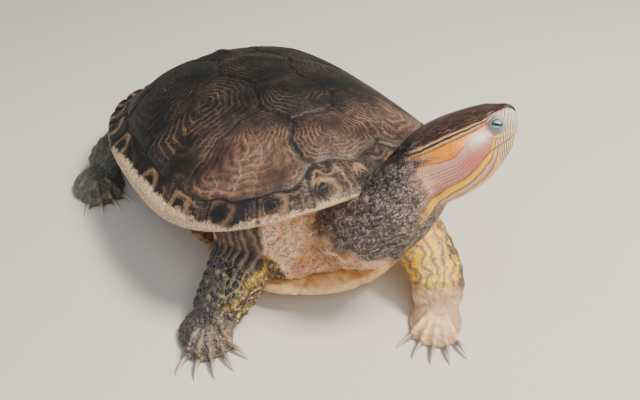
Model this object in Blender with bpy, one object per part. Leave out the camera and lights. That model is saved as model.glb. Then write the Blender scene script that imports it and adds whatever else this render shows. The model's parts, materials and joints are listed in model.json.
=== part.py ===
"""A basking slider turtle, life size, at rest on its feet with its neck raised and turned.

Metres, +Z up. The turtle faces +X, its left side is +Y. The shell is drawn in its own frame, with its
origin on the plastron's plane under the middle of the carapace, and is then pitched nose-up. Limbs, neck
and tail are drawn where they stand. Every piece keeps a gap of GAP to its neighbours.
"""

import math

import bmesh
import bpy
from mathutils import Matrix, Vector

GAP = 0.0004

# Shell, in its own frame
CARAPACE_LENGTH = 0.300
CARAPACE_WIDTH = 0.223
SHELL_HEIGHT = 0.1160
PLAN_FRONT_POWERS = (0.71, 0.80)
PLAN_BACK_POWERS = (0.77, 0.77)
DOME_SPREAD = 1.75
DOME_ROUNDNESS = 0.75
DOME_PEAK_AHEAD = 0.010
EDGE_FLARE = 0.035
BACK_FLARE = 0.110
PLATE_THICKNESS = 0.0050
RIM_THICKNESS = 0.0034
RIM_SHELF = 0.015
RIM_HEIGHT_SIDE = 0.056
RIM_RISE_FRONT = 0.033
RIM_RISE_BACK = -0.002
PLASTRON_FRONT = 0.142
PLASTRON_BACK = -0.134
PLASTRON_THICKNESS = 0.0065
LOBE_HALF_WIDTH = 0.069
BRIDGE_FRONT = 0.060
BRIDGE_BACK = -0.066
BRIDGE_HALF_WIDTH = 0.0985
LOBE_FRONT_SHOULDER = 0.064
LOBE_BACK_SHOULDER = -0.062
LOBE_POWERS = (2.5, 3.0)
GULAR_LIFT = 0.006
ANAL_LIFT = 0.001
BODY_PITCH = math.radians(3.2)
REST_X = -0.102

# Trunk, in the shell's frame
TRUNK_HALF_WIDTH = 0.0745
TRUNK_SPREAD = 0.0105
TRUNK_SHELL_GAP = 0.0045
TRUNK_PLASTRON_GAP = 0.0014
TRUNK_SIDES = 28

# Flesh
NECK_SIDES = 24
NECK_STATIONS = 12
LIMB_SIDES = 16
LIMB_STATIONS = 6
LIMB_SQUARENESS = 2.15
JOINT_SHARE = 0.50
JOINT_HALF_GAP = 0.003
EYE_RADIUS = 0.0044
CLAW_SIDES = 6
CLAW_LENGTHS = {True: 0.0125, False: 0.0105}
CLAW_ROOT_RADIUS = 0.0021
CLAW_TIP_RADIUS = 0.00035
CLAW_ROOT_IN_TOE = 0.0022

COLOURS = {
    "carapace": (0.065, 0.048, 0.036, 1),
    "plastron": (0.78, 0.55, 0.25, 1),
    "skin_dark": (0.10, 0.095, 0.075, 1),
    "skin_pale": (0.50, 0.33, 0.22, 1),
    "eye": (0.12, 0.22, 0.16, 1),
    "claw": (0.42, 0.36, 0.28, 1),
}


def clear_scene():
    for obj in list(bpy.data.objects):
        bpy.data.objects.remove(obj, do_unlink=True)


def material(name, roughness=0.55):
    found = bpy.data.materials.get(name)
    if found:
        return found
    made = bpy.data.materials.new(name)
    made.use_nodes = True
    shader = made.node_tree.nodes["Principled BSDF"]
    shader.inputs["Base Color"].default_value = COLOURS[name]
    shader.inputs["Roughness"].default_value = roughness
    shader.inputs["Metallic"].default_value = 0.0
    made.diffuse_color = COLOURS[name]
    return made


def smooth(a, b, x):
    """0 below a, 1 above b, and an S-curve between."""
    t = min(1.0, max(0.0, (x - a) / (b - a)))
    return t * t * (3 - 2 * t)


def power(value, exponent):
    return math.copysign(abs(value) ** exponent, value)


def eased(keys, x):
    """A smooth curve through (x, value) keys, which never overshoots them."""
    xs = [k[0] for k in keys]
    ys = [k[1] for k in keys]
    if x <= xs[0]:
        return ys[0]
    if x >= xs[-1]:
        return ys[-1]
    slopes = [(ys[i + 1] - ys[i]) / (xs[i + 1] - xs[i]) for i in range(len(xs) - 1)]
    tangents = [slopes[0]]
    for before, after in zip(slopes, slopes[1:]):
        tangents.append(0.0 if before * after <= 0 else 2 * before * after / (before + after))
    tangents.append(slopes[-1])
    i = max(k for k in range(len(xs) - 1) if xs[k] <= x)
    h = xs[i + 1] - xs[i]
    t = (x - xs[i]) / h
    return (
        ys[i] * (1 + 2 * t) * (1 - t) ** 2
        + h * tangents[i] * t * (1 - t) ** 2
        + ys[i + 1] * t * t * (3 - 2 * t)
        + h * tangents[i + 1] * t * t * (t - 1)
    )


def route(points, share):
    """The place at share (0 to 1) of a smooth curve through points."""
    u = min(0.999999, max(0.0, share)) * (len(points) - 1)
    i = int(u)
    t = u - i
    p = [Vector(points[min(len(points) - 1, max(0, i + k))]) for k in (-1, 0, 1, 2)]
    if i == 0:
        p[0] = 2 * p[1] - p[2]
    if i == len(points) - 2:
        p[3] = 2 * p[2] - p[1]
    return 0.5 * (
        2 * p[1]
        + (p[2] - p[0]) * t
        + (2 * p[0] - 5 * p[1] + 4 * p[2] - p[3]) * t * t
        + (3 * p[1] - p[0] - 3 * p[2] + p[3]) * t**3
    )


def mesh_object(name, verts, faces, colour):
    mesh = bpy.data.meshes.new(name)
    mesh.from_pydata([tuple(v) for v in verts], [], faces)
    made = bmesh.new()
    made.from_mesh(mesh)
    bmesh.ops.remove_doubles(made, verts=made.verts, dist=1e-6)
    bmesh.ops.recalc_face_normals(made, faces=made.faces)
    if made.calc_volume(signed=True) < 0:
        bmesh.ops.reverse_faces(made, faces=made.faces)
    bmesh.ops.triangulate(made, faces=[f for f in made.faces if len(f.verts) > 4])
    made.to_mesh(mesh)
    made.free()
    mesh.shade_smooth()
    mesh.materials.append(material(colour))
    obj = bpy.data.objects.new(name, mesh)
    bpy.context.scene.collection.objects.link(obj)
    return obj


def loft(name, rings, colour):
    """A closed solid through rings of equal count, with a fan at each end. A ring of one point closes there."""
    verts, faces, starts = [], [], []
    for ring in rings:
        starts.append(len(verts))
        verts += ring
    count = len(rings[len(rings) // 2])
    for a, b, ring_a, ring_b in zip(starts, starts[1:], rings, rings[1:]):
        for i in range(count):
            j = (i + 1) % count
            if len(ring_a) == 1:
                faces.append((a, b + i, b + j))
            elif len(ring_b) == 1:
                faces.append((a + i, b, a + j))
            else:
                faces.append((a + i, b + i, b + j, a + j))
    for start, ring in ((starts[0], rings[0]), (starts[-1], rings[-1])):
        if len(ring) > 1:
            middle = sum((Vector(v) for v in ring), Vector()) / count
            verts.append(middle)
            centre = len(verts) - 1
            faces += [(centre, start + i, start + (i + 1) % count) for i in range(count)]
    return mesh_object(name, verts, faces, colour)


def ring_at(centre, side, up, half_width, above, below, count, squareness=2.0):
    """A closed section: half_width to each side, above and below its centre."""
    points = []
    for i in range(count):
        angle = 2 * math.pi * i / count
        c = power(math.cos(angle), 2 / squareness)
        s = power(math.sin(angle), 2 / squareness)
        points.append(centre + side * (half_width * c) + up * ((above if s > 0 else below) * s))
    return points


def inflated(obj, by=GAP):
    """A hidden copy, by larger all round, for cutting a neighbour back to a gap."""
    cutter = bpy.data.objects.new(obj.name + "_cutter", obj.data.copy())
    bpy.context.scene.collection.objects.link(cutter)
    grow = cutter.modifiers.new("grow", "DISPLACE")
    grow.strength = by
    grow.mid_level = 0.0
    cutter.hide_render = True
    cutter.display_type = "WIRE"
    return cutter


def cut(obj, cutter, operation="DIFFERENCE"):
    knife = obj.modifiers.new("cut", "BOOLEAN")
    knife.operation = operation
    knife.object = cutter
    knife.solver = "EXACT"


# ---------------------------------------------------------------- shell


def shell_to_world():
    """The pitch that lifts the shell's front, about the place where the plastron rests on the floor."""
    foot = Vector((REST_X, 0, 0))
    return Matrix.Translation(foot) @ Matrix.Rotation(-BODY_PITCH, 4, "Y") @ Matrix.Translation(-foot)


def plan_powers(ahead):
    """The carapace's outline is a squared oval, squarer across the front."""
    return PLAN_FRONT_POWERS if ahead > 0 else PLAN_BACK_POWERS


def rim_point(t):
    """The carapace's edge. t is 0 at the front, a quarter turn at the left side and a half at the back."""
    c, s = math.cos(t), math.sin(t)
    end_power, side_power = plan_powers(c)
    x = CARAPACE_LENGTH / 2 * power(c, end_power)
    y = CARAPACE_WIDTH / 2 * power(s, side_power)
    z = RIM_HEIGHT_SIDE + RIM_RISE_FRONT * max(0.0, c) ** 2 + RIM_RISE_BACK * max(0.0, -c) ** 2
    return Vector((x, y, z))


def dome_point(t, r, down=0.0, inward=0.0):
    """The carapace's outer face: r is 0 at the peak and 1 at the rim. down and inward make its inner face."""
    edge = rim_point(t)
    flare = EDGE_FLARE + BACK_FLARE * max(0.0, -math.cos(t))
    lift = (1 - r**DOME_SPREAD) ** DOME_ROUNDNESS - flare * smooth(0.55, 0.88, r) * smooth(1.0, 0.92, r)
    shrink = 1 - inward / (CARAPACE_WIDTH / 2)
    x = edge.x * r * shrink + DOME_PEAK_AHEAD * (1 - r)
    y = edge.y * r * shrink
    return Vector((x, y, edge.z + (SHELL_HEIGHT - edge.z) * lift - down))


def plan_place(x, y):
    """The t and r of the dome over a place of its plan."""
    low, high = 0.0, 1.3
    for _ in range(40):
        r = (low + high) / 2
        along = (x - DOME_PEAK_AHEAD * (1 - r)) / (CARAPACE_LENGTH / 2) / max(r, 1e-6)
        across = y / (CARAPACE_WIDTH / 2) / max(r, 1e-6)
        end_power, side_power = plan_powers(along)
        if abs(along) ** (2 / end_power) + abs(across) ** (2 / side_power) > 1:
            low = r
        else:
            high = r
    return math.atan2(power(across, 1 / side_power), power(along, 1 / end_power)), r


def dome_height(x, y):
    t, r = plan_place(x, y)
    return dome_point(t, min(r, 1.0)).z


def rim_half_width(x):
    """Half the carapace's width at x."""
    end_power, side_power = plan_powers(x)
    share = min(1.0, abs(x) / (CARAPACE_LENGTH / 2))
    return CARAPACE_WIDTH / 2 * (1 - share ** (2 / end_power)) ** (side_power / 2)


def rim_height(x):
    """The carapace rim's height at x."""
    c = min(1.0, abs(x) / (CARAPACE_LENGTH / 2)) ** (1 / plan_powers(x)[0])
    return RIM_HEIGHT_SIDE + (RIM_RISE_FRONT if x > 0 else RIM_RISE_BACK) * c**2


CARAPACE_SIDES = 44
OUTER_RINGS = (0.22, 0.42, 0.58, 0.71, 0.81, 0.885, 0.94, 0.975, 0.993, 1.0)
INNER_RINGS = (0.84, 0.68, 0.46, 0.22)
INNER_INSET = 0.002


def carapace():
    """The domed upper shell: an outer face, a thin rim, a shelf under it and a hollow inside."""
    angles = [2 * math.pi * (i + 0.5) / CARAPACE_SIDES for i in range(CARAPACE_SIDES)]
    rings = [[dome_point(0, 0)]]
    rings += [[dome_point(t, r) for t in angles] for r in OUTER_RINGS]
    rings.append([rim_point(t) - Vector((0, 0, RIM_THICKNESS)) for t in angles])
    shelf = []
    for t in angles:
        edge = rim_point(t)
        out = Vector((edge.x, edge.y, 0)).normalized()
        shelf.append(edge - out * RIM_SHELF - Vector((0, 0, RIM_THICKNESS)))
    rings.append(shelf)
    rings += [[dome_point(t, r, PLATE_THICKNESS, INNER_INSET) for t in angles] for r in INNER_RINGS]
    rings.append([dome_point(0, 0, PLATE_THICKNESS)])
    return loft("carapace", rings, "carapace")


def lobe_half_width(x):
    """Half the plastron's width at x, from the round front lobe to the round back one."""
    past_front = max(0.0, x - LOBE_FRONT_SHOULDER) / (PLASTRON_FRONT - LOBE_FRONT_SHOULDER)
    past_back = max(0.0, LOBE_BACK_SHOULDER - x) / (LOBE_BACK_SHOULDER - PLASTRON_BACK)
    front = LOBE_HALF_WIDTH * max(0.0, 1 - past_front ** LOBE_POWERS[0]) ** 0.5
    back = LOBE_HALF_WIDTH * max(0.0, 1 - past_back ** LOBE_POWERS[1]) ** 0.5
    return min(front, back)


def bridge_share(x):
    """1 along the bridge, where the plastron turns up to the marginal scutes, and 0 at the lobes."""
    return smooth(BRIDGE_FRONT + 0.012, BRIDGE_FRONT - 0.006, x) * smooth(BRIDGE_BACK - 0.012, BRIDGE_BACK + 0.006, x)


def plastron_base(x):
    """The height of the plastron's lower face: a flat to rest on under the back, and a lift at the front."""
    flat = -(x - REST_X) * math.tan(BODY_PITCH)
    rest = smooth(-0.068, -0.088, x)
    gular = GULAR_LIFT * smooth(0.080, PLASTRON_FRONT, x)
    return flat * rest + gular + ANAL_LIFT * smooth(-0.120, PLASTRON_BACK, x)


def plastron_section(x, face):
    """The plastron across its width at x: face 0 is its lower side and 1 its upper."""
    bridge = bridge_share(x)
    half = lobe_half_width(x) + (BRIDGE_HALF_WIDTH - lobe_half_width(x)) * bridge
    points = []
    for i in range(11):
        v = -1 + 2 * i / 10
        thick = PLASTRON_THICKNESS * (1 - 0.25 * bridge) * face
        top = RIM_HEIGHT_SIDE - RIM_THICKNESS - 0.0008 - PLASTRON_THICKNESS * 0.75
        turned_up = bridge * top * smooth(0.52, 1.0, abs(v)) ** 0.9
        inward = 0.0052 * face * smooth(0.6, 1.0, abs(v)) * bridge
        lip = (0.0016 - 0.0030 * face) * abs(v) ** 6 * (1 - bridge)
        points.append(Vector((x, v * half * (1 - inward / half), plastron_base(x) + turned_up + thick + lip)))
    return points


def plastron():
    """The lower shell: a round lobe at each end and, between them, the bridges that turn up to the rim."""
    stations = [PLASTRON_BACK + 0.0012, -0.131, -0.124, -0.110, -0.092, -0.080, -0.072, -0.064, -0.050]
    stations += [-0.020, 0.014, 0.044, 0.054, 0.062, 0.070, 0.084, 0.100, 0.115, 0.127, 0.135, 0.139]
    stations += [PLASTRON_FRONT - 0.0006]
    rings = [plastron_section(x, 0) + plastron_section(x, 1)[::-1] for x in stations]
    return loft("plastron", rings, "plastron")


# ---------------------------------------------------------------- trunk


def trunk_section(x, close):
    """The body inside the shell: its top follows the carapace's inner face, its base clears the plastron."""
    beyond_bridge = smooth(0.064, 0.092, x) + smooth(-0.070, -0.092, x)
    widest = TRUNK_HALF_WIDTH + TRUNK_SPREAD * beyond_bridge
    half = min(widest, rim_half_width(x) - RIM_SHELF - 0.003) * close
    middle = rim_height(x) - RIM_THICKNESS - 0.010
    base = PLASTRON_THICKNESS + TRUNK_PLASTRON_GAP + max(0.0, plastron_base(x))
    middle = base + (middle - base) * (0.5 + 0.5 * close)
    ring = []
    for i in range(TRUNK_SIDES):
        angle = 2 * math.pi * i / TRUNK_SIDES
        y = half * math.cos(angle)
        if math.sin(angle) >= 0:
            roof = dome_height(x, y) - PLATE_THICKNESS - TRUNK_SHELL_GAP
            z = middle + (roof - middle) * close * math.sin(angle) ** 0.6
        else:
            z = middle - (middle - base) * close * abs(math.sin(angle)) ** 0.9
        ring.append(Vector((x, y, z)))
    return ring


def trunk():
    """The body between the shells, blunt at both ends."""
    place = shell_to_world()
    ends = {0: 0.62, 1: 0.88, 2: 0.98}
    stations = [-0.121, -0.118, -0.110, -0.092, -0.068, -0.028, 0.012, 0.064, 0.080, 0.096, 0.110, 0.119, 0.122]
    rings = []
    for i, x in enumerate(stations):
        close = ends.get(min(i, len(stations) - 1 - i), 1.0)
        rings.append([place @ p for p in trunk_section(x, close)])
    return loft("trunk", rings, "skin_pale")


# ---------------------------------------------------------------- neck and head

NECK_ROUTE = [
    (0.060, 0.000, 0.050), (0.096, 0.000, 0.054), (0.132, 0.001, 0.065), (0.1575, 0.0072, 0.0895),
    (0.1605, 0.0315, 0.1200),
]
HEAD_BASE = Vector((0.1545, 0.0290, 0.1285))
HEAD_AIM = Vector((0.610, 0.592, 0.527)).normalized()
HEAD_LENGTH = 0.056
HEAD_ROLL = math.radians(-14)

# Distance back from the snout, against half-width, height above and depth below the head's axis.
HEAD_WIDTH = [(0, 0.0045), (0.003, 0.0072), (0.0105, 0.0116), (0.020, 0.0162), (0.032, 0.0196), (0.045, 0.0218),
              (0.056, 0.0240)]
HEAD_ABOVE = [(0, 0.0050), (0.0025, 0.0082), (0.0085, 0.0088), (0.0125, 0.0110), (0.0205, 0.0121), (0.040, 0.0131),
              (0.056, 0.0114)]
HEAD_BELOW = [(0, 0.0040), (0.0012, 0.0060), (0.0035, 0.0100), (0.0070, 0.0154), (0.0148, 0.0222), (0.0205, 0.0264),
              (0.0295, 0.0310), (0.045, 0.0350), (0.056, 0.0352)]
NECK_RADIUS = [(0.0, 0.0320), (0.35, 0.0305), (0.62, 0.0270), (1.0, 0.0230)]


def head_frame():
    """Side (to the head's left) and up, for the head's aim and roll."""
    side = Vector((0, 0, 1)).cross(HEAD_AIM).normalized()
    turn = Matrix.Rotation(HEAD_ROLL, 3, HEAD_AIM)
    return turn @ side, turn @ HEAD_AIM.cross(side)


def head_matrix():
    """From places given ahead of the head's base, to its left and up, to the world."""
    side, up = head_frame()
    return Matrix([(HEAD_AIM[k], side[k], up[k], HEAD_BASE[k]) for k in range(3)] + [(0, 0, 0, 1)])


def head_section(back):
    """The head's section at a distance back from the snout."""
    side, up = head_frame()
    centre = HEAD_BASE + HEAD_AIM * (HEAD_LENGTH - back)
    sizes = eased(HEAD_WIDTH, back), eased(HEAD_ABOVE, back), eased(HEAD_BELOW, back)
    return ring_at(centre, side, up, *sizes, NECK_SIDES, 2.2)


def whole_head(name):
    backs = [0.0, 0.0014, 0.0042, 0.0085, 0.0125, 0.018, 0.025, 0.034, 0.045, HEAD_LENGTH - GAP]
    side, up = head_frame()
    tip = HEAD_BASE + HEAD_AIM * (HEAD_LENGTH + 0.0008) + up * 0.0006
    return loft(name, [[tip]] + [head_section(b) for b in backs], "skin_dark")


def box_cutter(name, corner_low, corner_high, frame):
    """A hidden block between two corners given in frame's axes."""
    made = bmesh.new()
    bmesh.ops.create_cube(made, size=1.0)
    low, high = Vector(corner_low), Vector(corner_high)
    for v in made.verts:
        v.co = frame @ Vector(tuple(low[i] + (v.co[i] + 0.5) * (high[i] - low[i]) for i in range(3)))
    bmesh.ops.recalc_face_normals(made, faces=made.faces)
    mesh = bpy.data.meshes.new(name)
    made.to_mesh(mesh)
    made.free()
    obj = bpy.data.objects.new(name, mesh)
    bpy.context.scene.collection.objects.link(obj)
    obj.hide_render = True
    obj.display_type = "WIRE"
    return obj


JAW_CORNER_BACK = 0.0225
MOUTH_FRONT_BELOW = 0.0092
MOUTH_SLOPE = math.radians(9)
EYE_BACK = 0.0084
EYE_ABOVE_AXIS = 0.0008
EYE_OUT = 0.0090


def head_and_jaw():
    """The skull and the lower jaw, parted along a closed mouth that runs back to below the eye."""
    frame = head_matrix()
    mouth = frame @ Matrix.Translation((HEAD_LENGTH, 0, -MOUTH_FRONT_BELOW)) @ Matrix.Rotation(-MOUTH_SLOPE, 4, "Y")
    corner = -JAW_CORNER_BACK
    head, jaw = whole_head("head"), whole_head("lower_jaw")
    cut(head, box_cutter("mouth_cutter", (corner - GAP, -0.05, -0.05), (0.02, 0.05, 0.0), mouth))
    cut(jaw, box_cutter("jaw_block", (corner, -0.05, -0.05), (0.02, 0.05, -GAP), mouth), "INTERSECT")
    for name, way in (("eye_left", 1), ("eye_right", -1)):
        centre = frame @ Vector((HEAD_LENGTH - EYE_BACK, way * EYE_OUT, EYE_ABOVE_AXIS))
        eye = ball(name, centre, EYE_RADIUS, "eye")
        cut(head, inflated(eye))


def ball(name, centre, radius, colour):
    made = bmesh.new()
    bmesh.ops.create_uvsphere(made, u_segments=12, v_segments=8, radius=radius)
    mesh = bpy.data.meshes.new(name)
    made.to_mesh(mesh)
    made.free()
    mesh.transform(Matrix.Translation(centre))
    mesh.shade_smooth()
    mesh.materials.append(material(colour, 0.15))
    obj = bpy.data.objects.new(name, mesh)
    bpy.context.scene.collection.objects.link(obj)
    return obj


def neck(trunk_obj, carapace_obj):
    """From inside the trunk to the head. The raised neck is pressed in where it meets the carapace's edge."""
    last = head_section(HEAD_LENGTH)
    rings = []
    for i in range(NECK_STATIONS):
        share = i / (NECK_STATIONS - 1)
        centre = route(NECK_ROUTE, share)
        ahead = (route(NECK_ROUTE, min(1, share + 0.02)) - route(NECK_ROUTE, max(0, share - 0.02))).normalized()
        blend = smooth(0.58, 1.0, share)
        aim = ahead.lerp(HEAD_AIM, blend * 0.6).normalized()
        side = Vector((0, 0, 1)).cross(aim).normalized().lerp(head_frame()[0], blend).normalized()
        up = aim.cross(side).normalized()
        radius = eased(NECK_RADIUS, share)
        ring = ring_at(centre, side, up, radius, radius, radius, NECK_SIDES, 2.0)
        rings.append([a.lerp(b, blend) for a, b in zip(ring, last)])
    obj = loft("neck", rings, "skin_dark")
    cut(obj, inflated(trunk_obj))
    cut(obj, inflated(carapace_obj, 0.0006))


# ---------------------------------------------------------------- limbs

# Each limb: its route from inside the trunk to the wrist or ankle, its foot's middle on the floor and heading.
LIMBS = {
    "foreleg_right": {
        "route": [(0.074, -0.044, 0.050), (0.090, -0.060, 0.044), (0.101, -0.075, 0.033), (0.106, -0.088, 0.021),
                  (0.109, -0.099, 0.012)],
        "widths": [(0, 0.023), (0.35, 0.0225), (0.65, 0.0210), (1, 0.0180)],
        "depths": [(0, 0.018), (0.35, 0.0170), (0.65, 0.0135), (1, 0.0095)],
        "foot": (0.1110, -0.1045), "heading": -14, "size": 1.0, "fore": True,
    },
    "foreleg_left": {
        "route": [(0.086, 0.043, 0.052), (0.116, 0.0487, 0.0440), (0.144, 0.0478, 0.0350), (0.163, 0.045, 0.026),
                  (0.174, 0.038, 0.013)],
        "widths": [(0, 0.021), (0.35, 0.0205), (0.65, 0.0190), (1, 0.0165)],
        "depths": [(0, 0.018), (0.35, 0.0165), (0.65, 0.0130), (1, 0.0095)],
        "foot": (0.1790, 0.0345), "heading": -42, "size": 0.97, "fore": True,
    },
    "hindleg_right": {
        "route": [(-0.070, -0.044, 0.034), (-0.090, -0.064, 0.034), (-0.106, -0.082, 0.029), (-0.108, -0.098, 0.021),
                  (-0.101, -0.110, 0.013)],
        "widths": [(0, 0.021), (0.35, 0.0205), (0.65, 0.0175), (1, 0.0155)],
        "depths": [(0, 0.016), (0.35, 0.0150), (0.65, 0.0125), (1, 0.0095)],
        "foot": (-0.0900, -0.1185), "heading": -2, "size": 1.16, "fore": False,
    },
    "hindleg_left": {
        "route": [(-0.070, 0.044, 0.034), (-0.092, 0.064, 0.034), (-0.112, 0.082, 0.029), (-0.117, 0.098, 0.021),
                  (-0.112, 0.110, 0.013)],
        "widths": [(0, 0.021), (0.35, 0.0205), (0.65, 0.0175), (1, 0.0155)],
        "depths": [(0, 0.016), (0.35, 0.0150), (0.65, 0.0125), (1, 0.0095)],
        "foot": (-0.1020, 0.1190), "heading": 16, "size": 1.16, "fore": False,
    },
}
TOE_STEP = 20
TOE_FANS = {True: (-40, -20, 0, 20, 40), False: (-30, -10, 10, 30)}
FOOT_LENGTH = 0.0190
FOOT_WIDTH = 0.0180
FOOT_HEIGHT = 0.0125
TOE_REACH = 0.38
TOE_LOBE_DEGREES = 6.5
TOE_RIDGE = 0.0018
SOLE_THICKNESS = 0.0034


def toe_lobe(angle, fan):
    """1 on a toe's line and 0 between toes."""
    return max(math.exp(-(((angle - toe) / TOE_LOBE_DEGREES) ** 2)) for toe in fan)


def foot_point(limb, angle, r, top):
    """A foot drawn flat on the floor, webbed toes forward. angle in degrees from its heading, r 0 to 1."""
    size = limb["size"]
    lobe = toe_lobe(angle, TOE_FANS[limb["fore"]])
    a = math.radians(angle)
    reach = 1 + TOE_REACH * lobe + 0.12 * max(0.0, math.cos(a))
    x = FOOT_LENGTH * size * reach * math.cos(a) * r
    y = FOOT_WIDTH * size * reach * math.sin(a) * r
    crown = FOOT_HEIGHT * size * (1 - r**2.4) ** 0.7 * (1 - 0.35 * max(0.0, math.cos(a)) * r)
    ridge = TOE_RIDGE * size * lobe * smooth(0.3, 0.75, r) * (1 - smooth(0.86, 1.0, r))
    z = (crown + ridge + SOLE_THICKNESS) if top else 0.0
    heading = math.radians(limb["heading"])
    foot = limb["foot"]
    return Vector((
        foot[0] + x * math.cos(heading) - y * math.sin(heading),
        foot[1] + x * math.sin(heading) + y * math.cos(heading),
        z,
    ))


def foot(name, limb):
    """A webbed foot, its sole flat on the floor."""
    angles = [-180 + TOE_STEP / 2 * i for i in range(int(720 / TOE_STEP))]
    rings = [[foot_point(limb, 0, 0, True)]]
    rings += [[foot_point(limb, a, r, True) for a in angles] for r in (0.45, 0.76, 0.93, 1.0)]
    rings.append([foot_point(limb, a, 0.95, False) for a in angles])
    rings.append([foot_point(limb, 0, 0, False)])
    return loft(name, rings, "skin_dark")


def claws(name, limb, foot_obj):
    """One curved horn claw to a toe, cut back to the toe's tip."""
    length = CLAW_LENGTHS[limb["fore"]]
    cutter = inflated(foot_obj, 0.0003)
    for n, toe in enumerate(TOE_FANS[limb["fore"]], 1):
        tip = foot_point(limb, toe, 1.0, False)
        out = (tip - foot_point(limb, toe, 0.5, False)).normalized()
        side = Vector((0, 0, 1)).cross(out)
        root = tip - out * CLAW_ROOT_IN_TOE
        rings = []
        for i in range(4):
            t = i / 3
            radius = CLAW_ROOT_RADIUS * (1 - t) ** 0.7 + CLAW_TIP_RADIUS
            drop = 0.0036 - 0.0026 * t**1.7 + 0.0010 * math.sin(math.pi * t)
            centre = root + out * length * t + Vector((0, 0, max(drop, radius * 1.1 + 0.0003)))
            rings.append(ring_at(centre, side, Vector((0, 0, 1)), radius * 0.8, radius * 1.1, radius, CLAW_SIDES))
        claw = loft(f"claw_{name}_{n}", rings, "claw")
        cut(claw, cutter)


def limb_tube(name, limb, start, end, colour):
    """A stretch of a limb, between two shares of its route."""
    rings = []
    for i in range(LIMB_STATIONS):
        share = start + (end - start) * i / (LIMB_STATIONS - 1)
        centre = route(limb["route"], share)
        ahead = (route(limb["route"], min(1, share + 0.03)) - route(limb["route"], max(0, share - 0.03))).normalized()
        side = Vector((0, 0, 1)).cross(ahead).normalized()
        up = ahead.cross(side).normalized()
        width, depth = eased(limb["widths"], share), eased(limb["depths"], share)
        rings.append(ring_at(centre, side, up, width, depth, depth, LIMB_SIDES, LIMB_SQUARENESS))
    return loft(name, rings, colour)


def limbs(trunk_obj):
    for name, limb in LIMBS.items():
        upper_name, lower_name = ("upper_arm", "forearm") if limb["fore"] else ("thigh", "shin")
        foot_name = "forefoot" if limb["fore"] else "hindfoot"
        side = name.split("_")[1]
        upper = limb_tube(f"{upper_name}_{side}", limb, 0.0, JOINT_SHARE - JOINT_HALF_GAP, "skin_pale")
        lower = limb_tube(f"{lower_name}_{side}", limb, JOINT_SHARE + JOINT_HALF_GAP, 1.0, "skin_dark")
        sole = foot(f"{foot_name}_{side}", limb)
        cut(upper, inflated(trunk_obj, 0.0006))
        cut(lower, inflated(sole))
        claws(f"{foot_name}_{side}", limb, sole)


# ---------------------------------------------------------------- tail

TAIL_ROUTE = [(-0.100, 0.000, 0.030), (-0.126, -0.002, 0.026), (-0.146, -0.008, 0.019), (-0.157, -0.022, 0.011),
              (-0.160, -0.038, 0.0062)]


TAIL_RADIUS = [(0, 0.0150), (0.4, 0.0105), (0.8, 0.0058), (1, 0.0026)]
TAIL_STATIONS = 9
TAIL_SIDES = 12


def tail(trunk_obj):
    """The tail, curled round to the right, its tip near the floor."""
    rings = []
    for i in range(TAIL_STATIONS):
        share = i / (TAIL_STATIONS - 1)
        centre = route(TAIL_ROUTE, share)
        ahead = (route(TAIL_ROUTE, min(1, share + 0.03)) - route(TAIL_ROUTE, max(0, share - 0.03))).normalized()
        side = Vector((0, 0, 1)).cross(ahead).normalized()
        radius = eased(TAIL_RADIUS, share)
        rings.append(ring_at(centre, side, ahead.cross(side), radius, radius, radius * 0.9, TAIL_SIDES))
    obj = loft("tail", rings, "skin_dark")
    cut(obj, inflated(trunk_obj))


def stand_at_origin():
    """Moves the whole animal so that the middle of its footprint is the origin and it stands on the floor."""
    depsgraph = bpy.context.evaluated_depsgraph_get()
    corners = []
    for obj in bpy.data.objects:
        if obj.type == "MESH" and not obj.hide_render:
            whole = obj.evaluated_get(depsgraph)
            corners += [whole.matrix_world @ v.co for v in whole.data.vertices]
    low = [min(c[k] for c in corners) for k in range(3)]
    high = [max(c[k] for c in corners) for k in range(3)]
    shift = Vector(((low[0] + high[0]) / 2, (low[1] + high[1]) / 2, low[2]))
    for obj in bpy.data.objects:
        obj.location -= shift


def main():
    clear_scene()
    place = shell_to_world()
    upper_shell, lower_shell = carapace(), plastron()
    for piece in (upper_shell, lower_shell):
        piece.data.transform(place)
    body = trunk()
    neck(body, upper_shell)
    head_and_jaw()
    limbs(body)
    tail(body)
    stand_at_origin()


main()
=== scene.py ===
# %% [markdown]
# # A basking slider turtle
#
# This lesson dresses the plain solids of a life-size turtle with a lifelike finish. The solids fix
# every size and place; the cells below lay scutes over the shell, one unbroken skin over the flesh,
# and wet eyes and horn claws over their stand-ins. Each step says what the thing is on the animal.

# %% Load the frame
import math
import json

import bpy
import numpy as np
from mathutils import Matrix, Vector, kdtree
from mathutils.bvhtree import BVHTree

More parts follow.
